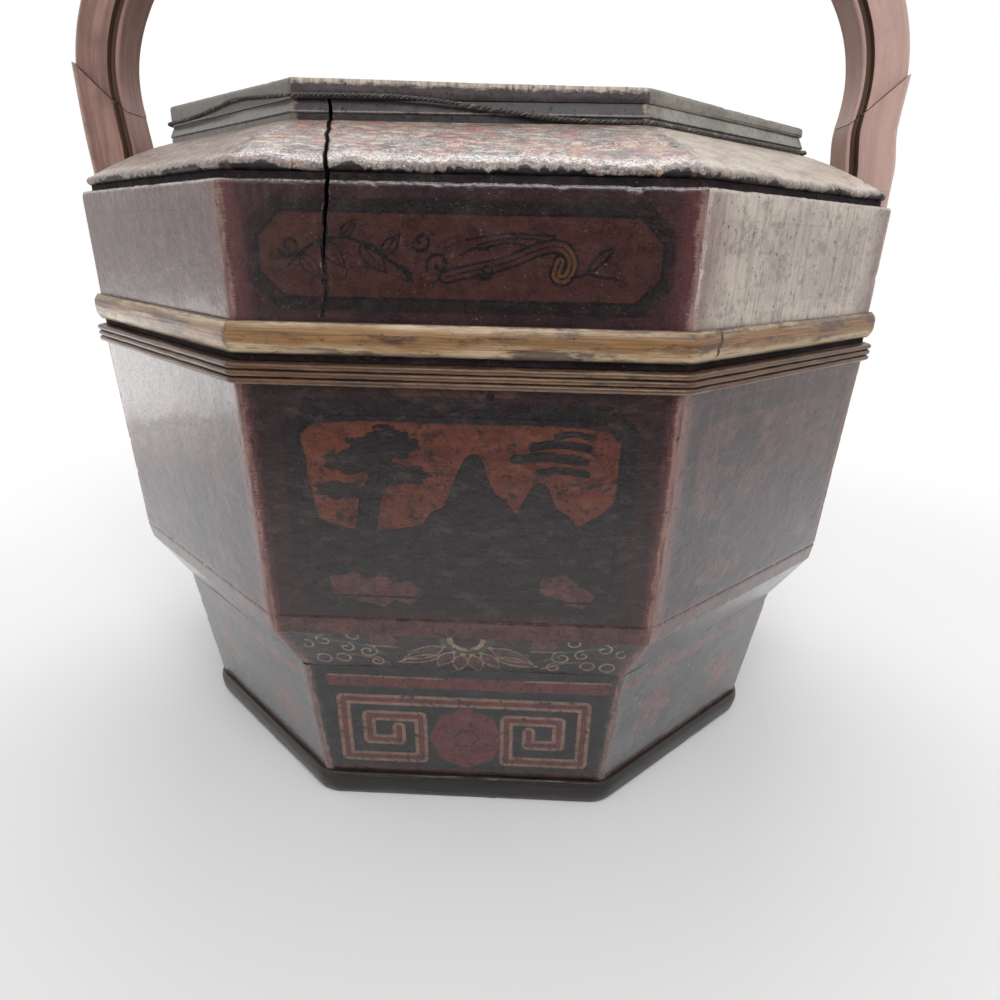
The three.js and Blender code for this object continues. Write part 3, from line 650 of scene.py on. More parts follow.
def make_board(node, profile, side, step, body, materials, paint, chip, fray, split):
    """One mitred board. paint is called with a grid and gives the face's painted layers."""
    all_points, all_faces, all_values, choice = [], [], [], []
    first = 0
    hidden = ~profile.shown
    row_choice = (hidden | np.roll(hidden, -1)).astype(int)
    # Rows near the start of the section, at the lid wall's foot and in the cove under the shoulder's nose,
    # take the dark cove finish: painted shade
    if len(materials) > 2:
        row_choice[profile.run < COVE_RUN] = 2
    cap = 1 if split is None else 0
    for part in (0,) if split is None else (-1, 1):
        grid = Grid(profile, side, step, split, part)
        rest = grid.positions()
        relief = unevenness(rest, grid, chip, fray)
        points = grid.positions(relief).reshape(-1, 3)
        values = paint(grid)
        values["place"] = np.column_stack([(grid.along + SIDE_SHIFT * side).ravel(),
                                           grid.spread(profile.run).ravel(), np.zeros(len(points))])
        values["edge"] = np.clip(grid.edge, 0, EDGE_REACH).ravel()
        values["ridge"] = grid.spread(profile.ridge).ravel()
        if split is not None:
            gap = np.abs(grid.along - grid.spread((split[0] + split[1]) / 2))
            is_open = grid.spread(split[1] - split[0] > OPEN_CRACK)
            values["crack"] = (np.exp(-(gap / CRACK_REACH) ** 2) * is_open).ravel()
        choice += np.repeat(row_choice, grid.shape[1] - 1).tolist() + [cap, cap]
        all_points.append(points)
        all_faces += board_faces(*grid.shape, first)
        all_values.append(values)
        first += len(points)
    merged = {key: np.concatenate([values[key] for values in all_values]) for key in all_values[0]}
    make_piece(node, np.vstack(all_points), all_faces, materials, body, [node], merged, choice)


# Procedural finishes

def tint(red, green, blue):
    """A colour given as it looks on a screen, 0 to 255, as linear light"""
    def linear(value):
        value /= 255
        return value / 12.92 if value <= 0.04045 else ((value + 0.055) / 1.055) ** 2.4
    return (linear(red), linear(green), linear(blue), 1.0)


class Finish:
    """A material whose nodes are added by short calls. Lengths in it are in millimetres."""

    def __init__(self, name, on_cad=False, **constants):
        self.material = bpy.data.materials.new(name)
        self.material.use_nodes = True
        self.tree = self.material.node_tree
        self.shader = self.tree.nodes["Principled BSDF"]
        for label, value in constants.items():
            self.shader.inputs[label.replace("_", " ")].default_value = value
        self.where = self.attribute("place", "Vector")
        if on_cad:
            scale = self.add("VectorMath", operation="SCALE")
            self.tree.links.new(self.add("TexCoord").outputs["Object"], scale.inputs[0])
            scale.inputs["Scale"].default_value = TO_MM
            self.where = scale.outputs[0]

    def add(self, kind, **settings):
        node = self.tree.nodes.new("ShaderNode" + kind)
        for label, value in settings.items():
            setattr(node, label, value)
        return node

    def feed(self, socket, value):
        if isinstance(value, bpy.types.NodeSocket):
            self.tree.links.new(value, socket)
        else:
            socket.default_value = value

    def attribute(self, name, output="Fac"):
        return self.add("Attribute", attribute_name=name).outputs[output]

    def math(self, operation, *values):
        node = self.add("Math", operation=operation)
        for socket, value in zip(node.inputs, values):
            self.feed(socket, value)
        return node.outputs[0]

    def times(self, value, factor):
        return self.math("MULTIPLY", value, factor)

    def sum(self, value, factor, other):
        """The value times a factor, and another value added"""
        return self.math("MULTIPLY_ADD", value, factor, other)

    def mask(self, value, low, high):
        """0 where value is at low and 1 where it is at high, eased between them"""
        node = self.add("MapRange", interpolation_type="SMOOTHSTEP")
        for label, setting in [("Value", value), ("From Min", low), ("From Max", high)]:
            self.feed(node.inputs[label], setting)
        return node.outputs[0]

    def blend(self, share, first, second, kind="MIX"):
        node = self.add("Mix", data_type="RGBA", blend_type=kind)
        for socket, value in zip([node.inputs[0], node.inputs[6], node.inputs[7]], [share, first, second]):
            self.feed(socket, value)
        return node.outputs[2]

    def lay(self, under, colour, share, strength, kind="MIX"):
        """A colour laid over what is under it, where share says so and no more strongly than strength"""
        return self.blend(self.times(share, strength), under, colour, kind)

    def noise(self, size, stretch=(1, 1, 1), detail=3.0, rough=0.55, shift=0.0, warp=0.0):
        """Noise whose features are about one size across, and stretched along some axes"""
        place = self.add("Mapping")
        self.feed(place.inputs["Vector"], self.where)
        place.inputs["Scale"].default_value = [1 / (size * s) for s in stretch]
        place.inputs["Location"].default_value = (shift, 1.7 * shift, 0.6 * shift)
        node = self.add("TexNoise")
        self.feed(node.inputs["Vector"], place.outputs[0])
        for label, value in [("Scale", 1.0), ("Detail", detail), ("Roughness", rough), ("Distortion", warp)]:
            node.inputs[label].default_value = value
        return node.outputs["Fac"]

    def swing(self, reach, size, stretch=(1, 1, 1), **kind):
        """Noise from about -reach / 2 to reach / 2, to make an edge ragged"""
        return self.sum(self.noise(size, stretch, **kind), reach, -reach / 2)

    def patches(self, size, low, high, shift, stretch=(1, 1, 1)):
        """A share between 0 and 1 in ragged patches"""
        return self.mask(self.noise(size, stretch, detail=6, rough=0.72, shift=shift), low, high)

    def distance(self):
        """Distance from the origin, for the stage pieces"""
        length = self.add("VectorMath", operation="LENGTH")
        self.tree.links.new(self.where, length.inputs[0])
        return length.outputs["Value"]

    def finish(self, colour, rough, height, depth):
        """Joins the colour, the roughness and a relief of some depth to the shader"""
        self.feed(self.shader.inputs["Base Color"], colour)
        self.feed(self.shader.inputs["Roughness"], rough)
        bump = self.add("Bump")
        self.feed(bump.inputs["Height"], height)
        bump.inputs["Distance"].default_value = depth / TO_MM
        bump.inputs["Strength"].default_value = 1.0
        self.tree.links.new(bump.outputs[0], self.shader.inputs["Normal"])
        return self.material


def darker(colour, share):
    return tuple(share * c for c in colour[:3]) + (1.0,)


SOOT, CHALK, MUD = tint(24, 18, 20), tint(180, 168, 160), (0.45, 0.4, 0.4, 1)
# The second of these is the pale grey of painted sheen
BLOOM, SHEEN_TINT = tint(84, 70, 68), tint(134, 132, 122)
DRAWN = ("ink", "gold", "cream")


def lacquer(name, ground, cloudy, paints, worn, glow=None, glow_reach=8.0, edge_wear=1.3, ridge_wear=1.0,
            worn_and_highlight_line=None, line_reach=0.8, speckle=0.655, streak=0.0, gloss=(0.14, 0.42), painted_sheen=0.0,
            lines=0.0, coat=0.5, shine=0.5, bloom=0.4, chalk=0.4, streak_tint=None):
    """Old lacquer: mottled ground, painted layers that flake, worn edges, pale specks and fine scratches,
    with a pale ridge line that is partly painted highlight and, where asked, patches of painted sheen.
    paints lists each layer with its colour, the share of it that is left and how strongly it shows."""
    f = Finish(name, Coat_Weight=coat, Coat_Roughness=0.14, IOR=1.5, Specular_IOR_Level=shine)
    edge, ridge, crack = f.attribute("edge"), f.attribute("ridge"), f.attribute("crack")
    colour = f.blend(f.patches(24, 0.4, 0.62, 3), ground, cloudy)

    # Painted layers, solid where they are drawn and loose where they are filled
    wobble = f.swing(2.0, 2.4, detail=5, rough=0.7, shift=5)
    flake = f.noise(4.4, detail=7, rough=0.76, shift=11)
    tone = f.patches(6, 0.32, 0.7, 17)
    for layer, paint, left, strength in paints:
        loose, solid = (0.25, -0.1) if layer in DRAWN else (1.0, -0.25)
        reach = f.sum(wobble, loose, f.attribute(layer))
        kept = f.mask(flake, 0.58 - 0.3 * left, 0.67 - 0.3 * left)
        share = f.times(f.mask(reach, 0.3 * loose, solid), kept)
        colour = f.lay(colour, f.blend(tone, paint, darker(paint, 0.6)), share, strength)
    if lines > 0:
        contour = f.math("ABSOLUTE", f.math("SUBTRACT", f.noise(9, detail=1.5, shift=29, warp=0.8), 0.5))
        colour = f.lay(colour, SOOT, f.mask(contour, 0.012, 0.004), lines)

    # Streaks along the grain, dirt and bloom
    grain = f.noise(1.6, (1, 22, 1), detail=4, shift=8)
    if streak > 0:
        colour = f.lay(colour, streak_tint or darker(worn, 1.15), f.mask(grain, 0.42, 0.8), streak)
    colour = f.lay(colour, MUD, f.patches(5, 0.48, 0.66, 61), 0.6, "MULTIPLY")
    colour = f.lay(colour, BLOOM, f.patches(5, 0.5, 0.68, 67, (1.8, 1, 1)), bloom, "SCREEN")

    # Wear along the corners and ridges
    ragged = f.swing(4.4, 3.2, (1, 2.2, 1), detail=6, rough=0.75, shift=21)
    hairs = f.swing(5.0, 0.8, (1, 8, 1), detail=3, rough=0.6, shift=23)
    if glow is not None:
        wide = f.math("ADD", edge, f.times(f.math("ADD", ragged, hairs), 1.2))
        colour = f.lay(colour, glow, f.mask(wide, glow_reach, 0.5), 0.75)
    across = f.swing(5.0, 0.6, (6, 1, 1), detail=4, rough=0.7, shift=27)
    corner = f.mask(f.math("ADD", edge, f.sum(across, 0.7, ragged)), edge_wear, edge_wear - 1.6)
    lip = f.mask(f.math("ADD", ridge, hairs), ridge_wear, ridge_wear - 0.8)
    wear = f.math("MAXIMUM", corner, lip)
    wood_grain = f.mask(f.noise(1.5, (1, 9, 1), detail=4, shift=25), 0.35, 0.7)
    colour = f.lay(colour, f.blend(wood_grain, worn, darker(worn, 0.4)), wear, 0.75)
    # A pale line along the ridge: bare worn lacquer, and a painted highlight along the rounded arris
    if worn_and_highlight_line is not None:
        line = f.mask(f.sum(hairs, 0.2 * line_reach, ridge), line_reach, 0.3 * line_reach)
        colour = f.lay(colour, worn_and_highlight_line, f.times(line, f.patches(2.2, 0.36, 0.52, 71, (3, 1, 1))), 0.8)

    # Specks, pits, scratches and the split
    speck = f.mask(f.noise(1.1, detail=5, rough=0.75, shift=31), speckle, speckle + 0.03)
    speck = f.times(speck, f.mask(f.noise(17, detail=3, shift=35), 0.42, 0.62))
    colour = f.lay(colour, CHALK, speck, 1.5 * chalk)
    pit = f.mask(f.noise(1.3, (1, 1.6, 1), detail=4, rough=0.7, shift=37), 0.385, 0.34)
    colour = f.lay(colour, SOOT, pit, 0.75)
    scratch = f.noise(0.9, (1.6, 1, 1), detail=5, rough=0.8, shift=41, warp=1.5)
    scratch = f.times(f.mask(scratch, 0.6, 0.68), f.patches(10, 0.55, 0.64, 43))
    colour = f.lay(colour, CHALK, scratch, chalk)
    colour = f.lay(colour, worn, f.mask(crack, 0.3, 0.5), f.patches(1.8, 0.56, 0.64, 73, (1, 3, 1)))
    colour = f.blend(f.mask(crack, 0.5, 0.7), colour, SOOT)
    # Painted sheen: pale grey patches that stand for the gloss seen on a side
    if painted_sheen > 0:
        colour = f.blend(f.sum(f.patches(19, 0.3, 0.7, 47), 0.4 * painted_sheen, 0.6 * painted_sheen), colour, SHEEN_TINT)

    dull = f.math("MAXIMUM", wear, speck)
    rough = f.sum(f.noise(9, detail=6, rough=0.75, shift=51), gloss[1] - gloss[0], gloss[0])
    ripple = f.noise(4.6, (1.5, 1, 1), detail=7, rough=0.66, shift=55)
    relief = f.sum(grain, 0.14, f.times(ripple, 1.2))
    relief = f.math("SUBTRACT", relief, f.sum(dull, 0.2, f.times(pit, 0.45)))
    return f.finish(colour, f.sum(dull, 0.3, rough), relief, 0.34)


# Flecks of the shoulder's painting: size, level and colour
FLECKS = [(3.0, 0.48, tint(176, 92, 84)), (2.6, 0.50, tint(84, 112, 118)), (1.9, 0.50, tint(214, 204, 186)),
          (2.2, 0.53, tint(190, 138, 82)), (1.5, 0.52, tint(70, 52, 54)), (1.2, 0.53, tint(208, 166, 154))]


def worn_paint(name, ground, shade, vivid, painted_glints, fringe_height=1.6):
    """Many-coloured painting worn down to flecks, with painted highlight glints, rubbed grey at the nose and
    with painted shade below it
    """
    f = Finish(name, Coat_Weight=0.25, Coat_Roughness=0.28, IOR=1.5)
    colour = f.blend(f.patches(5, 0.4, 0.62, 2, (2.6, 1, 1)), ground, shade)
    for i, (size, level, paint) in enumerate(FLECKS):
        patch = f.patches(size, level, level + 0.09, 7 + 5 * i, (2.7, 1, 1))
        zone = f.mask(f.noise(11, (1.7, 1, 1), detail=3, shift=83 + 7 * i), 0.4, 0.52)
        colour = f.lay(colour, paint, f.times(patch, zone), vivid)

    # Height above the nose, ragged like brushed fibres
    hair = f.noise(0.75, (1, 9, 1), detail=4, rough=0.7, shift=57)
    above = f.sum(f.noise(1.4, (2, 1, 1), detail=5, rough=0.75, shift=59), 2.0, f.attribute("ink"))
    height = f.sum(hair, fringe_height, above)
    start = 1.0 + 0.5 * fringe_height
    rubbed = f.mask(height, start + 3.6, start + 0.9)
    bristle = f.mask(f.noise(0.9, (1, 3.5, 1), detail=5, rough=0.75, shift=91), 0.4, 0.6)
    colour = f.lay(colour, f.blend(bristle, tint(152, 140, 130), tint(84, 72, 68)), rubbed, 0.85)

    # Painted highlights: white glints standing for light caught on the rough paint, more of them along the
    # crest
    sparkle = f.noise(0.5, (1.4, 1, 1), detail=4, rough=0.75, shift=51)
    painted_glint = f.times(f.mask(sparkle, 0.55, 0.63), f.patches(6, 0.4, 0.58, 53, (2, 1, 1)))
    crest = f.times(f.mask(height, start + 2.4, start + 3.6), f.mask(height, start + 8.6, start + 5.2))
    painted_glint = f.math("MAXIMUM", painted_glint, f.times(crest, f.mask(sparkle, 0.42, 0.56)))
    colour = f.lay(colour, tint(240, 236, 233), painted_glint, painted_glints)
    colour = f.lay(colour, tint(58, 46, 46), f.mask(sparkle, 0.43, 0.36), 0.55)

    # Painted shade: the cove under the nose is painted near black
    cove = f.mask(height, start + 0.5, start - 0.2)
    colour = f.blend(cove, colour, tint(23, 17, 19))
    colour = f.blend(f.mask(f.attribute("crack"), 0.45, 0.75), colour, SOOT)
    seam = f.sum(f.noise(2.6, detail=5, rough=0.7, shift=61), 6.0, f.attribute("edge"))
    colour = f.lay(colour, tint(104, 88, 80), f.mask(seam, 4.0, 2.2), 0.5)
    rough = f.sum(f.noise(2.4, detail=6, rough=0.75, shift=63), 0.7, 0.08)
    rough = f.math("MAXIMUM", rough, f.times(cove, 0.75))
    brushed = f.noise(1.3, (1.5, 1, 1), detail=6, rough=0.72, shift=65)
    return f.finish(colour, rough, f.sum(brushed, 1.0, f.times(f.times(hair, rubbed), 0.5)), 0.5)


def wood(name, pale, dark, axis=1, on_cad=False, size=3.0, gloss=(0.35, 0.6), wear=None, painted_light_tint=None,
         **constants):
    """Sawn or shaved wood with its grain along one axis"""
    f = Finish(name, on_cad, IOR=1.48, **constants)
    stretch = [1.0, 1.0, 1.0]
    stretch[axis] = 18.0
    grain = f.noise(size, stretch, detail=5, rough=0.62, warp=0.4)
    fine = f.noise(size * 0.28, stretch, detail=3, shift=7)
    colour = f.blend(f.mask(grain, 0.36, 0.66), pale, dark)
    colour = f.lay(colour, dark, f.mask(fine, 0.52, 0.7), 0.45)
    stain = f.mask(f.noise(28, detail=5, rough=0.65, shift=13), 0.45, 0.68)
    colour = f.lay(colour, darker(dark, 0.55), stain, 0.5)
    if wear is not None:
        ragged = f.swing(4.0, 3.0, detail=5, rough=0.7, shift=23)
        colour = f.lay(colour, wear, f.mask(f.math("ADD", f.attribute("edge"), ragged), 2.2, 0.6), 0.7)
        # Painted light: the right half of the handle is painted paler, a lighter side where light falls
        colour = f.blend(f.attribute("painted_light"), colour, painted_light_tint, "SCREEN")
        # The groove is painted dark: a dark stain, and painted shade in the recess
        colour = f.blend(f.mask(f.attribute("groove"), 0.5, 0.9), colour, tint(84, 60, 46))
    rough = f.sum(fine, gloss[1] - gloss[0], gloss[0])
    return f.finish(colour, rough, f.math("ADD", grain, fine), 0.18)


def bamboo(name, pale, gold, dark, coat=0.45):
    """Split bamboo: fibres along the strip, pale edges that are painted highlight, most along the upper edge,
    gold between them, painted shade darker towards the lower edge, and dark where dirt has settled along the
    edges
    """
    f = Finish(name, Coat_Weight=coat, Coat_Roughness=0.16, IOR=1.5)
    fibre = f.noise(0.6, (50, 1, 1), detail=5, rough=0.66, shift=3)
    broad = f.noise(2.2, (26, 1, 1), detail=5, rough=0.6, shift=9)
    drift = f.noise(15, (4, 1, 1), detail=5, rough=0.66, shift=27)
    colour = f.blend(f.mask(fibre, 0.36, 0.64), gold, darker(gold, 0.55))

    # Painted light: pale highlight along the edges, most at the top, and painted shade towards the lower edge
    rise = f.attribute("rise")
    level = f.sum(f.math("ABSOLUTE", f.math("SUBTRACT", rise, 0.6)), 1.7, f.times(drift, 1.8))
    colour = f.lay(colour, pale, f.mask(f.sum(fibre, 0.8, level), 1.6, 2.1), 0.85)
    colour = f.lay(colour, dark, f.mask(f.sum(drift, 0.5, rise), 0.4, 0.2), 0.75)

    patch = f.times(f.patches(9, 0.46, 0.6, 15, (3, 1, 1)), f.mask(broad, 0.4, 0.55))
    colour = f.lay(colour, darker(dark, 0.8), patch, 0.85)
    settled = f.swing(1.6, 2, (3, 1, 1), detail=4, shift=19)
    dirt = f.mask(f.math("ADD", f.attribute("edge"), settled), 0.55, 0.05)
    colour = f.lay(colour, tint(52, 38, 30), dirt, 0.75)
    colour = f.blend(f.mask(f.attribute("seam"), 0.9, 0.3), colour, tint(40, 28, 24))
    line = f.mask(f.noise(0.35, (70, 1, 1), detail=4, rough=0.7, shift=33), 0.44, 0.36)
    colour = f.lay(colour, dark, line, 0.6)
    stain = f.mask(f.noise(3.2, (2.2, 1, 1), detail=6, rough=0.75, shift=39), 0.6, 0.66)
    colour = f.lay(colour, darker(dark, 0.6), stain, 0.7)
    return f.finish(colour, f.sum(fibre, 0.35, 0.16), f.sum(broad, 0.8, fibre), 0.26)


def twisted(name):
    """A dark cord with short stray hairs, rubbed pale here and there, the pale patches partly painted
    highlight
    """
    f = Finish(name, Coat_Weight=0.0, IOR=1.45)
    hairs = f.noise(0.35, (1, 5, 1), detail=4, shift=3)
    worn = f.mask(f.noise(7, detail=4, rough=0.7, shift=6), 0.5, 0.66)
    colour = f.blend(f.mask(hairs, 0.4, 0.7), tint(40, 35, 35), tint(92, 84, 80))
    # Pale patches: rubbed wear, and painted highlight on the strands
    colour = f.lay(colour, tint(170, 160, 150), worn, 0.5)
    return f.finish(colour, f.sum(hairs, 0.3, 0.3), hairs, 0.12)


MAROON, BLACK, RUST = tint(48, 27, 27), tint(34, 27, 28), tint(98, 47, 31)
RED, GREEN, GOLD = tint(96, 46, 46), tint(64, 72, 60), tint(118, 88, 52)
CREAM, INK = tint(148, 124, 104), tint(26, 21, 23)
WORN = tint(150, 116, 108)


def painted(black=BLACK, rust=RUST, red=RED, green=GREEN, gold=GOLD, cream=CREAM, ink=INK, left=0.8,
            strength=1.0):
    colours = [black, rust, red, green, gold, cream, ink]
    return [(paint, colour, left, strength) for paint, colour in zip(PAINTS, colours)]


# Paints of the sides: faded, and paler again with painted sheen
FADED_SHEEN_PAINTS = {"rust": tint(92, 68, 66), "red": tint(96, 66, 68), "green": tint(80, 80, 76),
         "gold": tint(106, 92, 78), "cream": tint(130, 118, 108), "ink": tint(44, 40, 43)}
PALE_LINE = tint(186, 178, 174)
RED_CORNER, BROWN_CORNER = tint(92, 50, 50), tint(112, 88, 84)
finishes = {
    "body_front": lacquer("body_lacquer_front", MAROON, tint(41, 28, 29),
                          painted(red=tint(84, 52, 50), ink=tint(22, 17, 19), left=0.68), WORN,
                          glow=RED_CORNER, glow_reach=4, ridge_wear=-1.0, lines=0.55, gloss=(0.16, 0.42),
                          coat=0.35, bloom=0.3, chalk=0.24),
    # The side finishes have grounds paler and greyer than the front's: painted sheen for the gloss the sides
    # show
    "body_side": lacquer("body_lacquer_side_sheen", tint(76, 61, 65), tint(60, 52, 56),
                         painted(tint(46, 45, 51), strength=0.7, **FADED_SHEEN_PAINTS), WORN, glow=tint(118, 86, 82),
                         glow_reach=6, streak=0.15, ridge_wear=0.6, gloss=(0.08, 0.34)),
    "foot_front": lacquer("foot_lacquer_front", tint(35, 34, 37), tint(27, 26, 29),
                          painted(rust=tint(66, 34, 36), cream=tint(128, 100, 84), left=0.7), WORN,
                          glow=tint(62, 56, 56), glow_reach=3, bloom=0.2, chalk=0.25),
    "foot_side": lacquer("foot_lacquer_side_sheen", tint(80, 82, 86), tint(62, 64, 68),
                         painted(strength=0.85,
                                 **{**FADED_SHEEN_PAINTS, "rust": tint(108, 76, 76), "red": tint(124, 82, 82)}),
                         tint(128, 112, 108), glow=tint(104, 90, 86), glow_reach=5, streak=0.15,
                         gloss=(0.1, 0.36)),
    "lid_front": lacquer("lid_lacquer_front", tint(56, 32, 35), tint(43, 27, 30),
                         painted(rust=tint(69, 38, 33), black=tint(36, 26, 28), gold=tint(92, 58, 38),
                                 left=0.75), WORN,
                         glow=RED_CORNER, glow_reach=9, ridge_wear=-1.0, worn_and_highlight_line=PALE_LINE, speckle=0.64,
                         lines=0.35, bloom=0.15, chalk=0.3),
    "lid_side": lacquer("lid_lacquer_side_sheen", tint(102, 84, 82), tint(80, 64, 65),
                        painted(tint(76, 66, 68), strength=0.45, left=0.9, **FADED_SHEEN_PAINTS), tint(150, 128, 120),
                        glow=tint(92, 62, 59), glow_reach=14, ridge_wear=0.9, worn_and_highlight_line=PALE_LINE,
                        line_reach=1.4, streak=0.18, speckle=0.64),
    # The front-right finishes of the lid, shoulder and collar are paler still: a painted lighter side
    "lid_pale": lacquer("lid_lacquer_pale_lit", tint(200, 188, 176), tint(182, 170, 159),
                        painted(tint(150, 138, 130), strength=0.1, left=0.9, **FADED_SHEEN_PAINTS), tint(206, 186, 176),
                        glow=BROWN_CORNER, glow_reach=16, ridge_wear=1.4, worn_and_highlight_line=PALE_LINE, line_reach=1.4,
                        streak=0.7, streak_tint=tint(124, 110, 101), bloom=0.2, gloss=(0.3, 0.55)),
    "shoulder_front": worn_paint("shoulder_paint_front", tint(150, 136, 130), tint(100, 86, 84), 0.82, 0.9),
    "shoulder_side": worn_paint("shoulder_paint_side", tint(158, 144, 134), tint(116, 100, 93), 0.4, 0.4),
    "shoulder_pale": worn_paint("shoulder_paint_pale_lit", tint(208, 195, 179), tint(176, 162, 147), 0.16, 0.35,
                                fringe_height=5.0),
    # A dark, dull finish that paints shade in the cove and at the lid wall's foot
    "cove": lacquer("cove_painted_shade", tint(42, 34, 37), tint(31, 25, 28), [], tint(104, 92, 88), edge_wear=-1.0,
                    ridge_wear=-1.0, gloss=(0.6, 0.8), coat=0.0, shine=0.1, bloom=0.3),
    # Collar finishes paint their recessed foot with the ink layer: painted shade
    "collar_front": lacquer("collar_lacquer_front", tint(39, 27, 31), tint(30, 23, 26),
                            [("ink", SOOT, 1.0, 0.8)], tint(176, 160, 144), edge_wear=1.3, ridge_wear=-1.0,
                            worn_and_highlight_line=tint(130, 120, 116), line_reach=0.7, gloss=(0.42, 0.62), coat=0.08,
                            bloom=0.15),
    "top_front": lacquer("top_lacquer_front", tint(70, 60, 62), tint(56, 48, 51), [], tint(214, 198, 182),
                         edge_wear=2.6, ridge_wear=-1.0, gloss=(0.35, 0.6), coat=0.2),
    # Collar sides: a ground paler than the front's, painted sheen
    "collar_side": lacquer("collar_lacquer_side_sheen", tint(84, 81, 76), tint(66, 62, 60),
                           [("ink", tint(56, 53, 50), 1.0, 0.6)], tint(150, 142, 130), edge_wear=0.9,
                           ridge_wear=0.2, streak=0.2, painted_sheen=0.3, gloss=(0.25, 0.5)),
    "collar_pale": lacquer("collar_lacquer_pale_lit", tint(136, 133, 121), tint(106, 102, 93),
                           [("ink", tint(70, 66, 60), 1.0, 0.6)], tint(70, 58, 56), edge_wear=0.7,
                           ridge_wear=0.2, streak=0.15, gloss=(0.3, 0.55)),
    "bamboo": bamboo("bamboo_gold", tint(198, 176, 142), tint(152, 112, 67), tint(66, 42, 38), 0.3),
    "rim_bamboo": bamboo("bamboo_rim", tint(150, 120, 90), tint(100, 66, 40), tint(48, 32, 28), 0.3),
    "foot_bamboo": bamboo("bamboo_brown", tint(42, 34, 29), tint(30, 24, 21), tint(20, 17, 16), 0.1),
    "inside": wood("inside_wood", tint(120, 86, 62), tint(76, 50, 38)),
    "bare": wood("bare_wood", tint(150, 112, 78), tint(104, 72, 50), axis=0, on_cad=True),
    "handle": wood("handle_wood", tint(156, 121, 111), tint(122, 90, 82), size=5.0, gloss=(0.36, 0.6),
                   wear=tint(180, 150, 138), painted_light_tint=tint(144, 119, 112), Coat_Weight=0.12, Coat_Roughness=0.3),
    "peg": wood("peg_wood", tint(134, 100, 78), tint(86, 60, 48), axis=0),
    "cord": twisted("cord"),
}


# Boards

FINE, MEDIUM = 0.55, 1.0


def no_paint(grid):
    return {paint: np.full(grid.along.size, FAR) for paint in PAINTS}


def painter(*fields):
    """Paints a board. Each field has its lowest and highest level and a function that draws on it."""
    def paint(grid):
        along, z = grid.along.ravel(), grid.spread(grid.profile.z).ravel()
        shown = grid.spread(grid.profile.shown).ravel()
        layers = no_paint(grid)
        for low, high, draw in fields:
            canvas = Canvas(along, z - low, shown & (z >= low) & (z <= high))
            draw(canvas)
            for kind, distance in canvas.layers.items():
                layers[kind] = np.minimum(layers[kind], distance)
        return layers
    return paint


def wall_half(z):
    return mix(WALL_LOW, WALL_HIGH, (z - WALL_Z) / (RIM_Z - WALL_Z))


def foot_half(z):
    return mix(FOOT_LOW, FOOT_HIGH, z / FOOT_TOP_Z)


def lid_half(z):
    return mix(LID_LOW, LID_HIGH, (z - LID_Z) / (LID_TOP_Z - LID_Z))


CRACK_TOP, CRACK_FOOT, CRACK_COLLAR, CRACK_END_Z = -38.0, -41.5, -45.0, LID_Z + 13
CRACK_WIDTH = 1.25


def split_edges(z, half, base, width, seed):
    """The two edges of the split at each row, with its small jogs along the grain"""
    rows = np.column_stack([z, half, np.full(len(z), seed)])
    middle = base + 0.5 * noise(rows, 4.5, seed) + 0.28 * noise(rows, 1.7, seed + 1)
    width = np.maximum(width, LEAST_CRACK)
    return middle - width / 2, middle + width / 2


def lid_wall_split(profile):
    share = (profile.z - LID_Z) / (LID_TOP_Z - LID_Z)
    base = mix(CRACK_FOOT, CRACK_TOP, np.clip(share, 0, 1)) + 0.5 * np.sin(7 * share)
    base = base - 1.8 * np.clip((0.42 - share) / 0.2, 0, 1) ** 1.5
    width = CRACK_WIDTH * np.clip((profile.z - CRACK_END_Z) / 20, 0, 1) ** 0.6
    return split_edges(profile.z, 0 * profile.z, base, width, 61)


def shoulder_split(profile):
    share = (NOSE - profile.half) / (NOSE - COLLAR_LOW + COLLAR_THICK / 2)
    base = mix(CRACK_TOP, CRACK_COLLAR, np.clip(share, 0, 1))
    width = CRACK_WIDTH * np.clip((1.15 - share) / 0.3, 0, 1)
    return split_edges(profile.z, profile.half, base, width, 71)


def foot_fields(side):
    draw = paint_foot_front if side == 0 else lambda canvas: paint_foot_side(canvas, side)
    return painter((FOOT_Z, FOOT_TOP_Z, draw))


def wall_fields(side):
    bevel = paint_bevel_front if side == 0 else lambda canvas: paint_bevel_side(canvas, side)
    height = RIM_Z - WALL_Z
    return painter((FOOT_TOP_Z, LIP_Z, bevel),
                   (WALL_Z, RIM_Z, lambda canvas: paint_wall(canvas, side, height)),
                   (LIP_Z, WALL_Z, lambda canvas: canvas.fill("red",
                                                              box_outline(-75, 75, -1, LIP_HEIGHT + 1))))


def lid_fields(side):
    height = LID_TOP_Z - LID_Z
    return painter((LID_Z, LID_TOP_Z, lambda canvas: paint_lid_wall(canvas, side, height)))


def shoulder_fields(side):
    """Painted shade below a ragged edge of paint at the nose"""
    def paint(grid):
        layers = no_paint(grid)
        profile = grid.profile
        above = profile.run - profile.run[np.argmin(profile.ridge)]
        along = grid.along.ravel()
        keys = np.column_stack([along, 0 * along, 0 * along + 9 * side])
        ragged = 1.0 * noise(keys, 1.6, 65) + 1.5 * noise(keys, 8, 66) - 0.5
        layers["ink"] = np.where(grid.spread(profile.shown).ravel(), grid.spread(above).ravel() - ragged, FAR)
        layers["ink"] = np.clip(layers["ink"], -FAR, FAR)
        return layers
    return paint


# The ink layer marks the collar's recessed foot, which the collar finishes paint dark: painted shade
def collar_fields(_):
    def paint(grid):
        layers = no_paint(grid)
        above = grid.spread(grid.profile.z - COLLAR_Z - COLLAR_FOOT + 0.3).ravel()
        layers["ink"] = np.where(grid.spread(grid.profile.shown).ravel(), np.clip(above, -FAR, FAR), FAR)
        return layers
    return paint


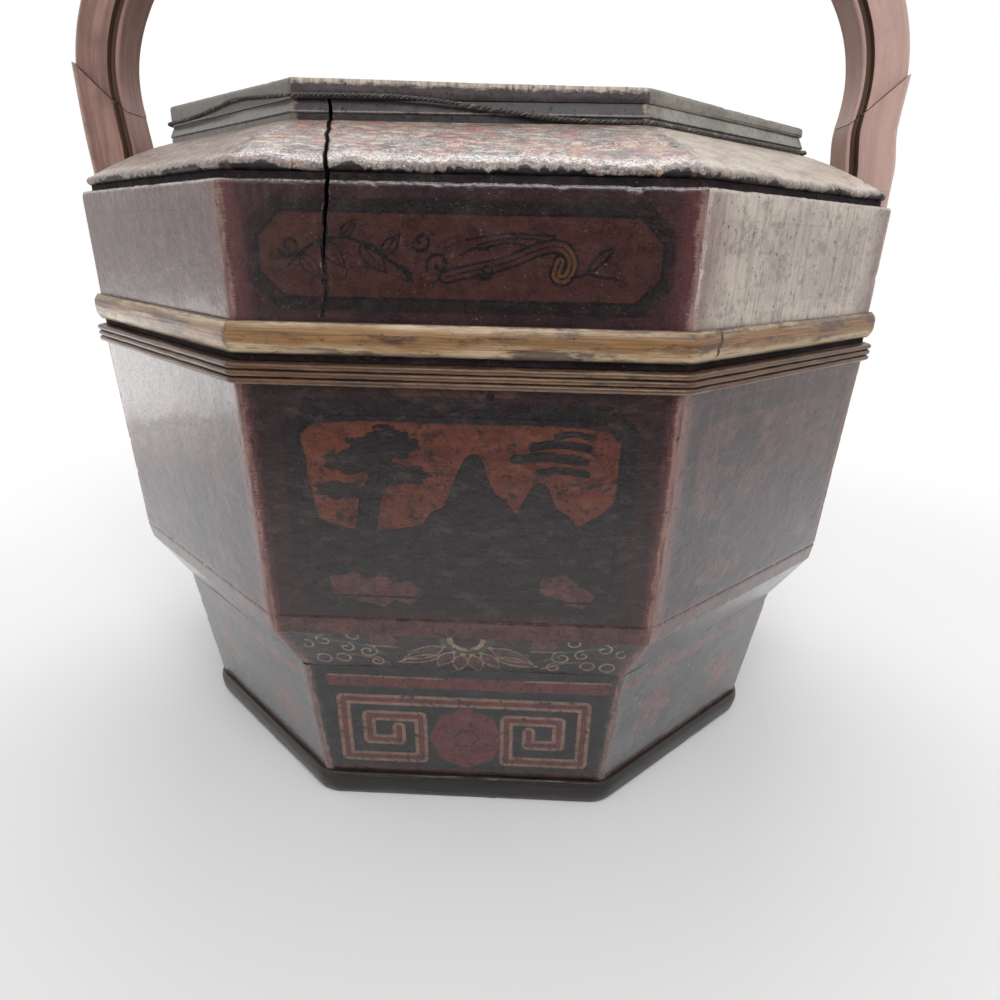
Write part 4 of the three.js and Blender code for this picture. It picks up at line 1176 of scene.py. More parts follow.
def shoulder_outside():
    """The cove, the rounded nose over it and the slope up to the collar, slightly crowned"""
    crest = (NOSE - CREST_BACK, LID_TOP_Z + CREST_RISE)
    foot = NOSE - COVE_SET
    centre = (crest[0] - CREST_ROUND, crest[1] - CREST_ROUND)
    cove = [(foot, LID_TOP_Z), (foot - COVE_DEEP, LID_TOP_Z + 0.8), (foot - COVE_DEEP, LID_TOP_Z + 2.2),
            (centre[0] - 0.4, centre[1] - CREST_ROUND)]
    turns = np.linspace(-math.pi / 2, math.pi * 0.3, 6)
    nose = [(centre[0] + CREST_ROUND * math.cos(t), centre[1] + CREST_ROUND * math.sin(t)) for t in turns]
    slope = []
    for share in np.linspace(0, 1, 15)[1:]:
        crown = SHOULDER_CROWN * 4 * share * (1 - share)
        slope.append((mix(nose[-1][0], COLLAR_LOW + COLLAR_STEP, share),
                      mix(nose[-1][1], COLLAR_Z, share) + crown))
    return cove + nose + slope, nose[3]


def board_profiles(step):
    collar_inner = COLLAR_LOW - COLLAR_THICK
    bevel_edge = (LIP_LOW + 0.1, LIP_Z)
    lip_top = (WALL_LOW - 0.1, WALL_Z - QUIRK_HEIGHT)
    ledge_half = wall_half(LEDGE_Z) - WALL_THICK
    shoulder, crest = shoulder_outside()
    collar_arris = (COLLAR_LOW - 0.2, COLLAR_Z + COLLAR_FOOT)
    return {
        "foot_board": Profile([(FOOT_LOW, FOOT_Z), (FOOT_HIGH, FOOT_TOP_Z)],
                              [(FOOT_HIGH - FOOT_THICK, FOOT_TOP_Z), (FOOT_LOW - FOOT_THICK, FOOT_Z)], step),
        "body_wall": Profile([(FOOT_HIGH, FOOT_TOP_Z), (LIP_LOW - 0.6, LIP_Z - 0.9), bevel_edge, lip_top,
                              (WALL_LOW - LIP_STEP, WALL_Z), (WALL_LOW, WALL_Z + QUIRK_HEIGHT),
                              (WALL_HIGH, RIM_Z)],
                             [(WALL_HIGH - WALL_THICK, RIM_Z), (ledge_half, LEDGE_Z),
                              (FOOT_HIGH - FOOT_THICK, LEDGE_Z), (FOOT_HIGH - FOOT_THICK, FOOT_TOP_Z)],
                             step, ridges=[bevel_edge, lip_top]),
        "lid_wall": Profile([(LID_LOW, LID_Z), *eased(LID_HIGH, LID_TOP_Z, LID_ARRIS),
                             (LID_HIGH - 5, LID_TOP_Z)],
                            [(LID_HIGH - LID_THICK, LID_TOP_Z), (LID_LOW - LID_THICK, LID_Z)],
                            step, ridges=[(LID_HIGH, LID_TOP_Z)]),
        "lid_shoulder": Profile(shoulder,
                                [(collar_inner - LEDGE_RUN, COLLAR_Z),
                                 (collar_inner - LEDGE_RUN, COLLAR_Z - LEDGE_THICK),
                                 (LID_HIGH - LID_THICK, LID_TOP_Z)],
                                step, ridges=[crest], rounding=SHOULDER_ROUND),
        "lid_collar": Profile([(COLLAR_LOW - 0.6, COLLAR_Z), (COLLAR_LOW - 0.7, COLLAR_Z + COLLAR_FOOT - 0.5),
                               collar_arris, (COLLAR_HIGH, TOP_BOARD_Z)],
                              [(collar_inner, TOP_BOARD_Z), (collar_inner, COLLAR_Z)], step,
                              ridges=[collar_arris]),
    }


BOARD_KINDS = {
    "foot_board": ("base", "foot_lacquer", "foot", foot_fields),
    "body_wall": ("base", "body_lacquer", "body", wall_fields),
    "lid_wall": ("lid", "lid_lacquer", "lid", lid_fields),
    "lid_shoulder": ("lid", "shoulder_paint", "shoulder", shoulder_fields),
    "lid_collar": ("lid", "collar_lacquer", "collar", collar_fields),
}
FRAYS = {"lid_shoulder": 0.22, "lid_wall": 0.1}
CHIP, FRAY_CHIP = 0.5, 2.5
SPLITS = {"lid_wall": lid_wall_split, "lid_shoulder": shoulder_split, "lid_collar": shoulder_split}


def finish_for(kind, side):
    """The front has its own finish, and so does the front-right side, painted paler as a painted lighter side
    """
    name = kind + {0: "_front", 1: "_pale"}.get(side, "_side")
    return finishes.get(name, finishes[f"{kind}_side"])


for side, side_name in enumerate(SIDES):
    step = FINE if side == 0 else MEDIUM
    for kind, profile in board_profiles(step).items():
        body, slot, finish, fields = BOARD_KINDS[kind]
        materials = [finish_for(finish, side), finishes["inside"]]
        # The lid wall and the shoulder also take the cove finish, which paints shade
        if kind in ("lid_wall", "lid_shoulder"):
            materials.append(finishes["cove"])
        split = SPLITS[kind](profile) if side == 0 and kind in SPLITS else None
        fray = FRAYS.get(kind, 0)
        make_board(f"{kind}_{side_name}", profile, side, step, body, materials, fields(side),
                   CHIP + FRAY_CHIP * fray, fray, split)


# Strips bent right round the octagon

def around(profile, step):
    """Rings of points, one for each station round the octagon, with the way along and the side of each"""
    positions, along, sides = [], [], []
    for side in range(COUNT):
        grid = Grid(profile, side, step)
        points = grid.positions()[:, :-1]
        positions.append(points)
        along.append(grid.along[:, :-1])
        sides.append(np.full(points.shape[1], side))
    return np.hstack(positions), np.hstack(along), np.concatenate(sides)


def half_round(back_half, z, height, proud, rows):
    """Outside of a split strip that lies on a wall"""
    shares = 0.5 - 0.5 * np.cos(np.linspace(0, math.pi, rows))
    stand = proud * (1 - 0.55 * np.abs(2 * shares - 1) ** 3)
    levels = z + height * shares
    return [(back_half(level) + BAND_CLEAR + s, level) for level, s in zip(levels, stand)]


FIRST_KNOT, KNOT_APART = 70.0, 212.0
STRIP_STEP = 1.4


def make_band(node, body, finish, back_half, z, height, proud, seams, rows, ridges=0.1, softer=0.0):
    """One bamboo strip. seams lists where its ends overlap, as a side and a place along it."""
    outside = half_round(back_half, z, height, proud, rows)
    profile = Profile(outside, [(back_half(z + height) + BAND_CLEAR, z + height),
                                (back_half(z) + BAND_CLEAR, z)],
                      height, base_round=lambda levels: back_half(levels) + BAND_CLEAR - softer)
    points, along, sides = around(profile, STRIP_STEP)
    middle = points.mean(axis=0)
    travel = np.concatenate([[0], np.cumsum(np.linalg.norm(np.diff(middle, axis=0), axis=1))])
    share = np.broadcast_to(((profile.z - z) / height)[:, None], along.shape)
    run = np.broadcast_to(travel[None, :], along.shape)
    keys = np.dstack([run / 26, share * height, 0 * run]).reshape(-1, 3)
    relief = ridges * noise(keys, 0.75, 81) + 0.12 * noise(keys * [3, 0.4, 1], 1.0, 82)
    relief = relief.reshape(along.shape)
    for knot in np.arange(FIRST_KNOT, travel[-1], KNOT_APART):
        relief += 0.32 * np.exp(-((run - knot) / 1.6) ** 2) - 0.16 * np.exp(-((run - knot - 3) / 1.4) ** 2)
    seam_gap = np.full(along.shape, FAR)
    for seam_side, seam_along in seams:
        offset = along - seam_along - 3.0 * (share - 0.5)
        here = np.broadcast_to(sides == seam_side, along.shape)
        seam_gap = np.where(here, np.minimum(seam_gap, np.abs(offset)), seam_gap)
        relief += np.where(here, 0.42 * np.exp(-np.clip(offset, 0, None) / 9) * (offset > 0), 0)
    out = points * [1, 1, 0]
    out /= np.linalg.norm(out, axis=2)[..., None]
    shown = profile.shown[:, None] & ((share > 0.001) & (share < 0.999))
    points = points + out * np.where(shown, relief, 0)[..., None]
    faces = quads(*along.shape, round_rows=True).tolist()
    edge = np.minimum(share, 1 - share) * height
    values = {"place": np.column_stack([run.ravel(), share.ravel() * height + 31 * z, 0 * run.ravel()]),
              "edge": edge.ravel(), "seam": seam_gap.ravel(), "rise": share.ravel()}
    make_piece(node, points.reshape(-1, 3), faces, [finishes[finish]], body, [node], values)


RIM_STRIPS = sorted(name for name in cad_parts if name.startswith("rim_strip_"))
make_band("foot_band", "base", "foot_bamboo", foot_half, 0.0, z_range("foot_band")[1], 2.8, [(4, 30)], 18,
          softer=8.0)
low, high = z_range("lid_band")
make_band("lid_band", "lid", "bamboo", lid_half, low, high - low, 2.8, [(1, -52)], 20)
for i, node in enumerate(RIM_STRIPS):
    low, high = z_range(node)
    make_band(node, "base", "rim_bamboo", wall_half, low, high - low, 2.4, [(4, -40 + 30 * i)], 10,
              ridges=0.05)


# Top board: a plain lacquered plate with an eased nose

TOP_ARRIS = 1.1
TOP_HALF = half_at("lid_top_board", LID_HIGH_Z - TOP_ARRIS)
TOP_RAISE, TOP_TILT = 0.7, 0.017
TOP_RINGS, TOP_MIDDLE = 83, 10


def make_top_board():
    nose = [(TOP_HALF - 0.4, TOP_BOARD_Z), (TOP_HALF, TOP_BOARD_Z + 0.8),
            *eased(TOP_HALF, LID_HIGH_Z, TOP_ARRIS, 5)]
    top = [(half, LID_HIGH_Z) for half in np.linspace(TOP_HALF - TOP_ARRIS, TOP_MIDDLE, TOP_RINGS)[1:]]
    profile = Profile([*nose, *top], [], STRIP_STEP)
    profile.round = np.clip(profile.half - 1, 0, CORNER_ROUND)
    points, along, sides = around(profile, STRIP_STEP)
    rows, columns = along.shape
    flat = points.reshape(-1, 3)
    dish = 0.25 * noise(flat * [1, 1, 0], 60, 91) + 0.05 * noise(flat * [1, 6, 0], 7, 92)
    rim = np.broadcast_to((TOP_HALF - profile.half)[:, None], along.shape)
    dents = 0.5 * np.clip(noise(flat, 4, 93) - 0.25, 0, 1) * np.exp(-(rim.ravel() / 2.0) ** 2)
    upper = np.repeat(profile.z > TOP_BOARD_Z + 1, columns)
    flat[:, 2] += np.where(upper, np.minimum(dish - 0.25, 0) - dents + TOP_RAISE - TOP_TILT * flat[:, 0], 0)
    flat[-columns:, 2] = flat[-columns:, 2].mean() - TOP_TILT * flat[-columns:, 0]
    arris = np.hypot(rim.ravel() - 0.4, 1.6 * np.repeat(profile.z - LID_HIGH_Z + 0.4, columns))
    down = np.repeat(profile.run, columns)
    round_edge = np.column_stack([along.ravel() + SIDE_SHIFT * np.tile(sides, rows), down, 0 * down])
    place = np.where(rim.ravel()[:, None] > 2, flat * [1, 1, 0] + [500, 0, 0], round_edge)
    values = {"place": place, "edge": np.clip(arris, 0, EDGE_REACH), "ridge": 0 * arris + FAR,
              "ink": 0 * arris + FAR}
    edge_rows = np.sum(profile.z < LID_HIGH_Z) + 2
    choice = np.tile(np.minimum(sides, 2), (rows - 1, 1))
    choice[edge_rows:] = 2
    materials = [finishes["top_front"], finishes["collar_pale"], finishes["collar_side"]]
    make_piece("lid_top_board", flat, turned_faces(rows, columns), materials, "lid",
               ["lid_top_board"], values, np.append(choice.ravel(), [2, 2]))


make_top_board()


# Cord: two strands laid round each other, along the loop that the frame's cord follows

CORD_RADIUS, CORD_CLEAR = 0.74, 0.2
CORD_CLIMB = 2.4
CORD_SLACK = (-30.0, 42.0)
CORD_SPAN, CORD_POINTS = 50, 26
STRAND_RADIUS, STRAND_OFFSET, STRAND_LAY = 0.42, 0.34, 3.3
STRAND_SIDES, CORD_STEP = 9, 0.55
SLIPS = [(0, 1), (1, 1), (1, 1), (1, 1), (1, 1), (1, 0), (0, 0), (0, 0)]


def cord_place(side, slip, along=None):
    """A point of the cord beside a flat side, high in the joint or slipped down onto the shoulder. Without a
    place along the side it is where the corner starts."""
    half = mix(TOP_HALF, COLLAR_LOW, slip) + CORD_RADIUS + CORD_CLEAR
    z = mix(TOP_BOARD_Z, COLLAR_Z + CORD_CLEAR, slip) + CORD_RADIUS
    rounding = CORNER_ROUND + CORD_RADIUS + CORD_CLEAR
    low = -flat_end(half, rounding, side, side - 1)
    high = flat_end(half, rounding, side, side + 1)
    out, tangent = side_axes(side)
    depth = half + slant(side)
    if along is None:
        depth -= rounding * (1 - math.cos(CORNER_TURN))
        along = low - rounding * math.sin(CORNER_TURN)
    else:
        along = np.clip(along, low, high)
    return np.append(depth * out + along * tangent, z)


def cord_centreline():
    points = []
    for side, (first, last) in enumerate(SLIPS):
        points.append(cord_place(side, first))
        for along in np.linspace(-CORD_SPAN, CORD_SPAN, CORD_POINTS):
            points.append(cord_place(side, mix(first, last, smooth_step(along, *CORD_SLACK)), along))
            if side == COUNT - 1:
                points[-1][2] += CORD_CLIMB * math.exp(-((along - 12) / 24) ** 2)
    return np.array(points)


def resampled(points, step):
    """Points at an even spacing round a closed line, with the way to each"""
    line = np.vstack([points, points[:1]])
    lengths = np.concatenate([[0], np.cumsum(np.linalg.norm(np.diff(line, axis=0), axis=1))])
    spots = np.linspace(0, lengths[-1], round(lengths[-1] / step), endpoint=False)
    return np.column_stack([np.interp(spots, lengths, line[:, k]) for k in range(3)]), spots


def cross_axes(centres):
    """At each point of a closed line, the level way across it and the way up from it"""
    ahead = np.roll(centres, -1, axis=0) - np.roll(centres, 1, axis=0)
    ahead /= np.linalg.norm(ahead, axis=1)[:, None]
    across = np.cross(ahead, [0, 0, 1])
    across /= np.linalg.norm(across, axis=1)[:, None]
    return across, np.cross(across, ahead)


def circled(centres, axes, turns, radius):
    """Points that lie some turn round a line, at a radius from it"""
    return centres + radius * (np.cos(turns) * axes[0] + np.sin(turns) * axes[1])


def make_cord():
    centres, run = resampled(cord_centreline(), CORD_STEP)
    count = len(run)
    lays = round(run[-1] / STRAND_LAY)
    turns = np.linspace(0, 2 * math.pi, STRAND_SIDES, endpoint=False)[None, :, None]
    strand_faces = quads(count, STRAND_SIDES, round_rows=True)[:, [0, 3, 2, 1]]
    points, faces, place = [], [], []
    for number, phase in enumerate((0, math.pi)):
        lay = 2 * math.pi * lays * np.arange(count) / count + phase
        strand = circled(centres, cross_axes(centres), lay[:, None], STRAND_OFFSET)
        axes = [axis[:, None] for axis in cross_axes(strand)]
        points.append(circled(strand[:, None], axes, turns, STRAND_RADIUS).reshape(-1, 3))
        faces += (strand_faces + number * count * STRAND_SIDES).tolist()
        across = np.tile(np.arange(STRAND_SIDES) * 0.37, count) + 20 * phase
        place.append(np.column_stack([np.repeat(run, STRAND_SIDES), across, 0 * across]))
    make_piece("collar_cord", np.vstack(points), faces, [finishes["cord"]], "lid", ["collar_cord"],
               {"place": np.vstack(place)})


make_cord()


# Handle: the arch and its two legs meet on sloping shoulders

ARCH_RISE, ARCH_DEPTH, ARCH_HALF_WIDTH = 101.0, 20.0, 12.0
ARCH_ROUND, ARCH_LIFT, SPRING_LIFT = 3.0, 21.0, 7.0
RIB_HALF_WIDTH = 9.8
LEAN, LEAN_Z, LEAN_REACH = -1.5, 272.0, 38.0
SHRINK = -2.9
SHRINK_START, SHRINK_FULL, SHRINK_EASE, SHRINK_END = 257.0, 276.0, 320.0, 400.0
GROOVE_INSET, GROOVE_WIDTH, GROOVE_FLOOR = 1.6, 2.8, 8.5
KNEE_DROP, LEG_HALF_WIDTH, LEG_ROUND, LEG_ARRIS = 8.0, 13.5, 12.0, 1.0
ARCH_SPREAD = 3.5
SCARF = math.radians(43)
SCARF_CLEAR, LEG_GAP = 0.3, 0.3
ARCH_RINGS, LEG_STEPS, INNER_EASE = 240, 34, 0.9
HANDLE_SHIFT, LEG_SHIFT = 300, 900
LEG_Z = z_range("handle_leg_right")[0]
KNEE_Z, SPRING_Z = LID_HIGH_Z - KNEE_DROP, LID_HIGH_Z + SPRING_LIFT
ARCH_CENTRE_Z = LID_HIGH_Z + ARCH_LIFT
leg_points = cad_points("handle_leg_right")
LEG_CLEAR = leg_points[np.abs(leg_points[:, 2] - KNEE_Z) < LEVEL_SLACK][:, 0].min()
LEG_OUTER = leg_points[leg_points[:, 2] < LEG_Z + LEG_ROUND + LEVEL_SLACK][:, 0].max()
STEP_Z = z_range("rim_strip_1")[0] - 0.3
ARCH_HALF = LEG_CLEAR + ARCH_SPREAD
SPRING_TURN = math.asin((SPRING_Z - ARCH_CENTRE_Z) / ARCH_RISE)
SCARF_UP = np.array([-math.sin(SCARF), math.cos(SCARF)])


def arch_point(turn, depth):
    """A point of the arch in X and Z, some depth outside its inner curve"""
    along = np.stack([-ARCH_HALF * np.sin(turn), ARCH_RISE * np.cos(turn)], axis=-1)
    along /= np.linalg.norm(along, axis=-1)[..., None]
    inner = np.stack([ARCH_HALF * np.cos(turn), ARCH_CENTRE_Z + ARCH_RISE * np.sin(turn)], axis=-1)
    return inner + np.asarray(depth)[..., None] * np.stack([along[..., 1], -along[..., 0]], axis=-1)


SPRING = arch_point(np.array(SPRING_TURN), 0.0)


def scarf_turns(depths):
    """Where each depth of the arch meets the right-hand shoulder, found by halving"""
    low = np.full(len(depths), SPRING_TURN - 0.1)
    high = low + 0.6
    for _ in range(40):
        middle = (low + high) / 2
        above = (arch_point(middle, depths) - SPRING) @ SCARF_UP > 0
        high = np.where(above, middle, high)
        low = np.where(above, low, middle)
    return low


def section(inner, outer, half_width, rounding, grooved):
    """Half of the section from the inner face round to the outer one, as depth, width and groove share"""
    ease = INNER_EASE
    rib = RIB_HALF_WIDTH if grooved else half_width
    points = [(inner, w, 0) for w in np.linspace(0, rib - ease, 8)]
    points += [(inner + ease * (1 - math.cos(t)), rib - ease + ease * math.sin(t), 0)
               for t in np.linspace(0.4, math.pi / 2, 3)]
    near, far = inner + GROOVE_INSET, inner + GROOVE_INSET + GROOVE_WIDTH
    floor = GROOVE_FLOOR if grooved else half_width
    groove = [(0.04, mix(rib, floor, 0.12)), (0.08, floor + 0.2 * grooved), (0.5, floor),
              (0.92, floor + 0.2 * grooved), (0.96, mix(half_width, floor, 0.12))]
    points.append((near, rib, 0))
    points += [(mix(near, far, share), width, 1 * grooved) for share, width in groove]
    points.append((far, half_width, 0))
    points += [(d, half_width, 0) for d in np.linspace(far, outer - rounding, 8)[1:-1]]
    points += [(outer - rounding + rounding * math.sin(t), half_width - rounding + rounding * math.cos(t), 0)
               for t in np.linspace(0, math.pi / 2, 6)]
    points += [(outer, w, 0) for w in np.linspace(half_width - rounding, 0, 7)[1:]]
    return points


def whole_section(*sizes):
    right = section(*sizes)
    left = [(d, -w, g) for d, w, g in right[-2:0:-1]]
    return np.array(right + left)


def lean_at(points):
    """How far the old handle leans to the left: a little about its joints, more in its right-hand bend"""
    x, z = points[..., 0], points[..., 2]
    tighter = smooth_step(z, SHRINK_START, SHRINK_FULL) * smooth_step(z, SHRINK_END, SHRINK_EASE)
    return LEAN * np.exp(-((z - LEAN_Z) / LEAN_REACH) ** 2) + SHRINK * tighter * (x > 0)


def shaped_wood(flat, seed, size=0.28):
    return size * noise(flat, 34, seed) + 0.07 * noise(flat, 8, seed + 1)


def handle_values(run, depth, to_outer, width, half_width, grooved, painted_light):
    """Attributes of the handle's wood: where each point lies in it, and how near to a corner"""
    edge = np.hypot(np.clip(half_width - width, 0, EDGE_REACH), np.minimum(depth, to_outer))
    place = np.column_stack([width + HANDLE_SHIFT, run, depth])
    return {"place": place, "edge": edge, "groove": grooved.ravel(), "painted_light": painted_light}


def make_arch():
    ring = whole_section(0.0, ARCH_DEPTH, ARCH_HALF_WIDTH, ARCH_ROUND, True)
    starts = scarf_turns(ring[:, 0])
    shares = np.linspace(0, 1, ARCH_RINGS)[:, None]
    turns = mix(starts, math.pi - starts, shares)
    depth, width, grooved = (np.broadcast_to(column, turns.shape) for column in ring.T)
    flat = arch_point(turns, depth)
    points = np.dstack([flat[..., 0], width, flat[..., 1]])
    push = shaped_wood(points.reshape(-1, 3), 101).reshape(turns.shape) * np.sin(np.pi * shares) ** 0.3
    lean = ring[:, :2] - [ARCH_DEPTH / 2, 0]
    lean /= np.linalg.norm(lean, axis=1)[:, None]
    radial = arch_point(turns, depth + lean[:, 0]) - flat
    points += push[..., None] * np.dstack([radial[..., 0], np.broadcast_to(lean[:, 1], turns.shape),
                                           radial[..., 1]])
    points[..., 0] += lean_at(points)
    run = turns.ravel() * (ARCH_HALF + ARCH_RISE) / 2
    to_outer = np.abs(ARCH_DEPTH - depth).ravel()
    # The right half of the arch is painted paler: painted light
    painted_light = smooth_step(points[..., 0].ravel(), -90, 90)
    values = handle_values(run, depth.ravel(), to_outer, np.abs(width).ravel(), ARCH_HALF_WIDTH, grooved, painted_light)
    make_piece("handle_arch", points.reshape(-1, 3), turned_faces(*turns.shape), [finishes["handle"]], "base",
               ["handle_arch"], values)


def leg_rows():
    """Sections of a leg from its foot up: the levels of its inner and outer face, their distances from the
    axis and whether it is grooved"""
    top_inner = SPRING - SCARF_CLEAR * SCARF_UP
    outer_depth = np.array([ARCH_DEPTH])
    top_outer = arch_point(scarf_turns(outer_depth), outer_depth)[0] - SCARF_CLEAR * SCARF_UP

    def outer_at(z):
        return mix(LEG_OUTER, top_outer[0], (z - LEG_Z) / (top_outer[1] - LEG_Z))
    rows = []
    for turn in np.linspace(-math.pi / 2, 0, 8):
        z = LEG_Z + LEG_ROUND * (1 + math.sin(turn))
        rows.append((z, z, wall_half(z) + LEG_GAP, outer_at(z) - LEG_ROUND * (1 - math.cos(turn)), False))
    for z in np.linspace(LEG_Z + LEG_ROUND, STEP_Z, LEG_STEPS)[1:]:
        rows.append((z, z, wall_half(z) + LEG_GAP, outer_at(z), False))
    rows += [(z, z, LEG_CLEAR, outer_at(z), False) for z in np.linspace(STEP_Z, LID_Z, 5)]
    rows += [(z, z, LEG_CLEAR, outer_at(z), True) for z in np.linspace(LID_Z, KNEE_Z, LEG_STEPS)]
    for share in np.linspace(0, 1, 9)[1:]:
        inner_z, outer_z = mix(KNEE_Z, top_inner[1], share), mix(KNEE_Z, top_outer[1], share)
        rows.append((inner_z, outer_z, mix(LEG_CLEAR, top_inner[0], share), outer_at(outer_z), True))
    return rows


def make_leg(side_name, sign):
    rows = leg_rows()
    points, grooved = [], []
    for inner_z, outer_z, inner, outer, groove in rows:
        ring = whole_section(inner, outer, LEG_HALF_WIDTH, LEG_ARRIS, groove)
        z = mix(inner_z, outer_z, (ring[:, 0] - inner) / (outer - inner))
        points.append(np.column_stack([ring[:, :2], z]))
        grooved.append(ring[:, 2])
    columns = len(points[0])
    flat = np.vstack(points)
    depth = flat[:, 0] - np.repeat([row[2] for row in rows], columns)
    to_outer = np.repeat([row[3] for row in rows], columns) - flat[:, 0]
    width = np.abs(flat[:, 1])
    push = shaped_wood(flat, 111 if sign > 0 else 121, 0.22)
    side_push = push * np.sign(flat[:, 1]) * (width > LEG_HALF_WIDTH - 1.1)
    flat = flat + np.column_stack([push * (to_outer < 1.2), side_push, 0 * push])
    # The right leg is painted paler: painted light
    values = handle_values(flat[:, 2] + LEG_SHIFT * sign, depth, to_outer, width, LEG_HALF_WIDTH,
                           np.array(grooved), np.full(len(flat), max(sign, 0.0)))
    flat = flat * [sign, sign, 1]
    flat[:, 0] += lean_at(flat)
    name = f"handle_leg_{side_name}"
    make_piece(name, flat, turned_faces(len(rows), columns), [finishes["handle"]], "base",
               [name], values)


PEG_RADIUS, PEG_HEAD, PEG_SIDES = 3.2, 1.2, 30


def make_peg(node, sign):
    """A turned peg driven in from outside, with a low domed head"""
    low, high = cad_box(node)
    middle_z = (low[2] + high[2]) / 2
    start, end = (low[0], high[0]) if sign > 0 else (-high[0], -low[0])
    shaft = [(start, 0.01), (start, PEG_RADIUS - 0.4), (start + 0.4, PEG_RADIUS)]
    shaft += [(x, PEG_RADIUS) for x in np.linspace(start + 4, end - PEG_HEAD, 6)]
    dome = [(end - PEG_HEAD + PEG_HEAD * math.sin(t), PEG_RADIUS * math.cos(t) ** 0.8 + 0.01)
            for t in np.linspace(0.2, math.pi / 2, 9)]
    turns = np.linspace(0, 2 * math.pi, PEG_SIDES, endpoint=False)
    flat = np.array([(x, r * math.cos(t), middle_z + r * math.sin(t)) for x,
                     r in shaft + dome for t in turns])
    place = flat + [37 * sign, middle_z, 0]
    out = 0.12 * noise(flat, 2.2, 131)
    flat = flat + np.column_stack([out * (flat[:, 0] > end - PEG_HEAD - 0.1), 0 * out, 0 * out])
    faces = turned_faces(len(shaft + dome), PEG_SIDES)
    make_piece(node, flat * [sign, sign, 1], faces, [finishes["peg"]], "base", [node],
               {"place": place})


make_arch()
for side_name, sign in (("right", 1), ("left", -1)):
    make_leg(side_name, sign)
    for number in (1, 2):
        make_peg(f"handle_peg_{side_name}_{number}", sign)

for node in ("floor_board", "inner_lip"):
    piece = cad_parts[node]
    piece.data.materials.clear()
    piece.data.materials.append(finishes["bare"])


# Floor, light and camera

STAGE_SIDES = 96


def stage_ring(name, outline, material, **shown):
    """A round stage piece turned from an outline of radius and height"""
    turns = np.linspace(0, 2 * math.pi, STAGE_SIDES, endpoint=False)
    points = np.array([(r * math.cos(t), r * math.sin(t), z) for r, z in outline for t in turns])
    mesh = bpy.data.meshes.new(name)
    mesh.from_pydata((points / TO_MM).tolist(), [], quads(len(outline), STAGE_SIDES).tolist())
    mesh.materials.append(material)
    ring = bpy.data.objects.new(name, mesh)
    bpy.context.scene.collection.objects.link(ring)
    for label, value in shown.items():
        setattr(ring, label, value)


def seen_directly(tree):
    """1 for what the camera sees, directly, in gloss or through glass, and 0 for what lights the object"""
    rays = tree.nodes.new("ShaderNodeLightPath")
    seen = rays.outputs["Is Camera Ray"]
    for kind in ("Is Glossy Ray", "Is Transmission Ray"):
        either = tree.nodes.new("ShaderNodeMath")
        either.operation = "MAXIMUM"
        tree.links.new(seen, either.inputs[0])
        tree.links.new(rays.outputs[kind], either.inputs[1])
        seen = either.outputs[0]
    return seen


FLOOR_REACH, FLOOR_FADE = 9000.0, (320.0, 620.0)
SURROUND = [(400, 1), (470, 1), (540, 1), (640, 1), (1000, 1), (1000, 520)]
SKY_LIGHT = 0.55


def make_floor():
    """A pale floor that keeps the shadow near the object and turns into the white background further out"""
    f = Finish("floor", on_cad=True, Specular_IOR_Level=0.0, Roughness=0.9, Base_Color=(0.93, 0.93, 0.93, 1))
    far = f.mask(f.distance(), *FLOOR_FADE)
    white = f.add("Emission")
    blend = f.add("MixShader")
    f.feed(blend.inputs[0], f.times(far, seen_directly(f.tree)))
    f.tree.links.new(f.shader.outputs[0], blend.inputs[1])
    f.tree.links.new(white.outputs[0], blend.inputs[2])
    f.tree.links.new(blend.outputs[0], f.tree.nodes["Material Output"].inputs["Surface"])
    stage_ring("floor", [(0.1, 0), (FLOOR_REACH, 0)], f.material)


def make_surround():
    """A dark room that shows only in gloss: pale floor near the object, dark further off, open above"""
    f = Finish("surround", on_cad=True, Specular_IOR_Level=0.0, Roughness=1.0)
    near = f.mask(f.distance(), 600, 370)
    split = f.add("SeparateXYZ")
    f.tree.links.new(f.where, split.inputs[0])
    beside = f.mask(f.math("ABSOLUTE", split.outputs[0]), 240, 460)
    far = f.blend(beside, (0.03, 0.03, 0.033, 1), (0.75, 0.7, 0.68, 1))
    f.feed(f.shader.inputs["Base Color"], f.blend(near, far, (0.9, 0.9, 0.92, 1)))
    stage_ring("surround", SURROUND, f.material, visible_camera=False, visible_diffuse=False,
               visible_shadow=False)


def make_world():
    world = bpy.data.worlds.new("studio")
    world.use_nodes = True
    tree = world.node_tree
    scale = tree.nodes.new("ShaderNodeMapRange")
    tree.links.new(seen_directly(tree), scale.inputs["Value"])
    scale.inputs["To Min"].default_value = SKY_LIGHT
    scale.inputs["To Max"].default_value = 1.0
    tree.links.new(scale.outputs[0], tree.nodes["Background"].inputs["Strength"])
    tree.nodes["Background"].inputs["Color"].default_value = (1, 1, 1, 1)
    bpy.context.scene.world = world


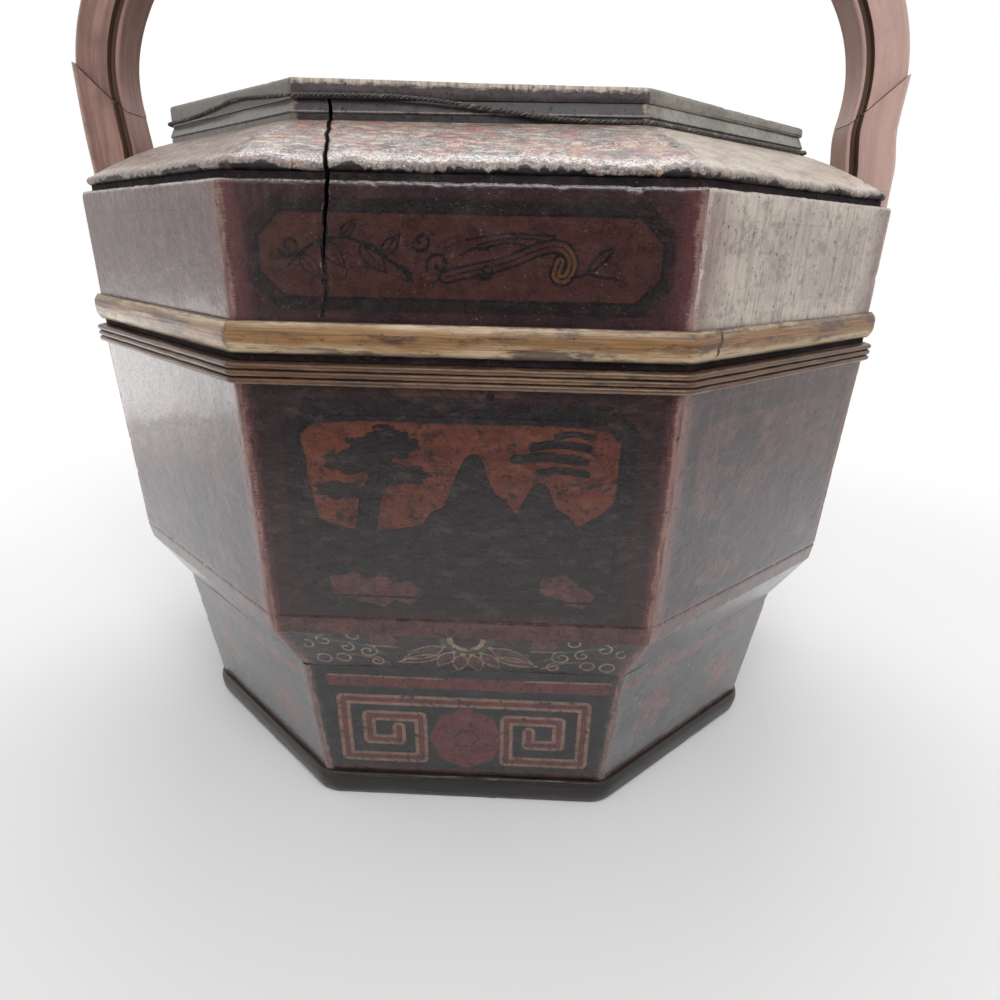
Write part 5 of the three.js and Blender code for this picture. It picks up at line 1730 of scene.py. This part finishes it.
def make_lamp(name, place, target, size, watts):
    lamp = bpy.data.lights.new(name, "AREA")
    lamp.shape, lamp.size, lamp.size_y, lamp.energy = "RECTANGLE", size[0] / TO_MM, size[1] / TO_MM, watts
    item = bpy.data.objects.new(name, lamp)
    back = np.array(place, float) - np.array(target, float)
    right = np.cross([0, 1, 0] if abs(back[2]) > np.linalg.norm(back[:2]) * 4 else [0, 0, 1], back)
    back, right = back / np.linalg.norm(back), right / np.linalg.norm(right)
    item.matrix_world = posed(np.array(place, float), right, np.cross(back, right), back)
    item.visible_camera = False
    bpy.context.scene.collection.objects.link(item)


def posed(place, right, up, back):
    pose = Matrix.Identity(4)
    for column, axis in enumerate((right, up, back, place / TO_MM)):
        for row in range(3):
            pose[row][column] = axis[row]
    return pose


CAMERA_PLACE = np.array([20.86, -389.17, 223.30])
CAMERA_YAW, CAMERA_PITCH, CAMERA_ROLL = (math.radians(turn) for turn in (1.846, 19.02, 1.248))
CAMERA_LENS = 26.9


def make_camera():
    right = np.array([math.cos(CAMERA_YAW), math.sin(CAMERA_YAW), 0])
    ahead = np.array([-math.sin(CAMERA_YAW), math.cos(CAMERA_YAW), 0])
    ahead = math.cos(CAMERA_PITCH) * ahead - math.sin(CAMERA_PITCH) * np.array([0, 0, 1])
    up = np.cross(right, ahead)
    rolled_right = math.cos(CAMERA_ROLL) * right + math.sin(CAMERA_ROLL) * up
    rolled_up = -math.sin(CAMERA_ROLL) * right + math.cos(CAMERA_ROLL) * up
    camera = bpy.data.cameras.new("camera")
    camera.lens, camera.sensor_width = CAMERA_LENS, 36
    item = bpy.data.objects.new("camera", camera)
    item.matrix_world = posed(CAMERA_PLACE, rolled_right, rolled_up, -ahead)
    bpy.context.scene.collection.objects.link(item)
    bpy.context.scene.camera = item


make_floor()
make_surround()
make_world()
make_lamp("overhead", (0, 560, 1150), (0, 0, 200), (1000, 600), 5.5)
make_lamp("front", (120, -900, 1000), (0, 0, 150), (700, 500), 6.5)
make_lamp("left", (-620, 140, 75), (0, 140, 75), (320, 130), 0.22)
make_camera()
bpy.context.scene.view_settings.view_transform = "Standard"
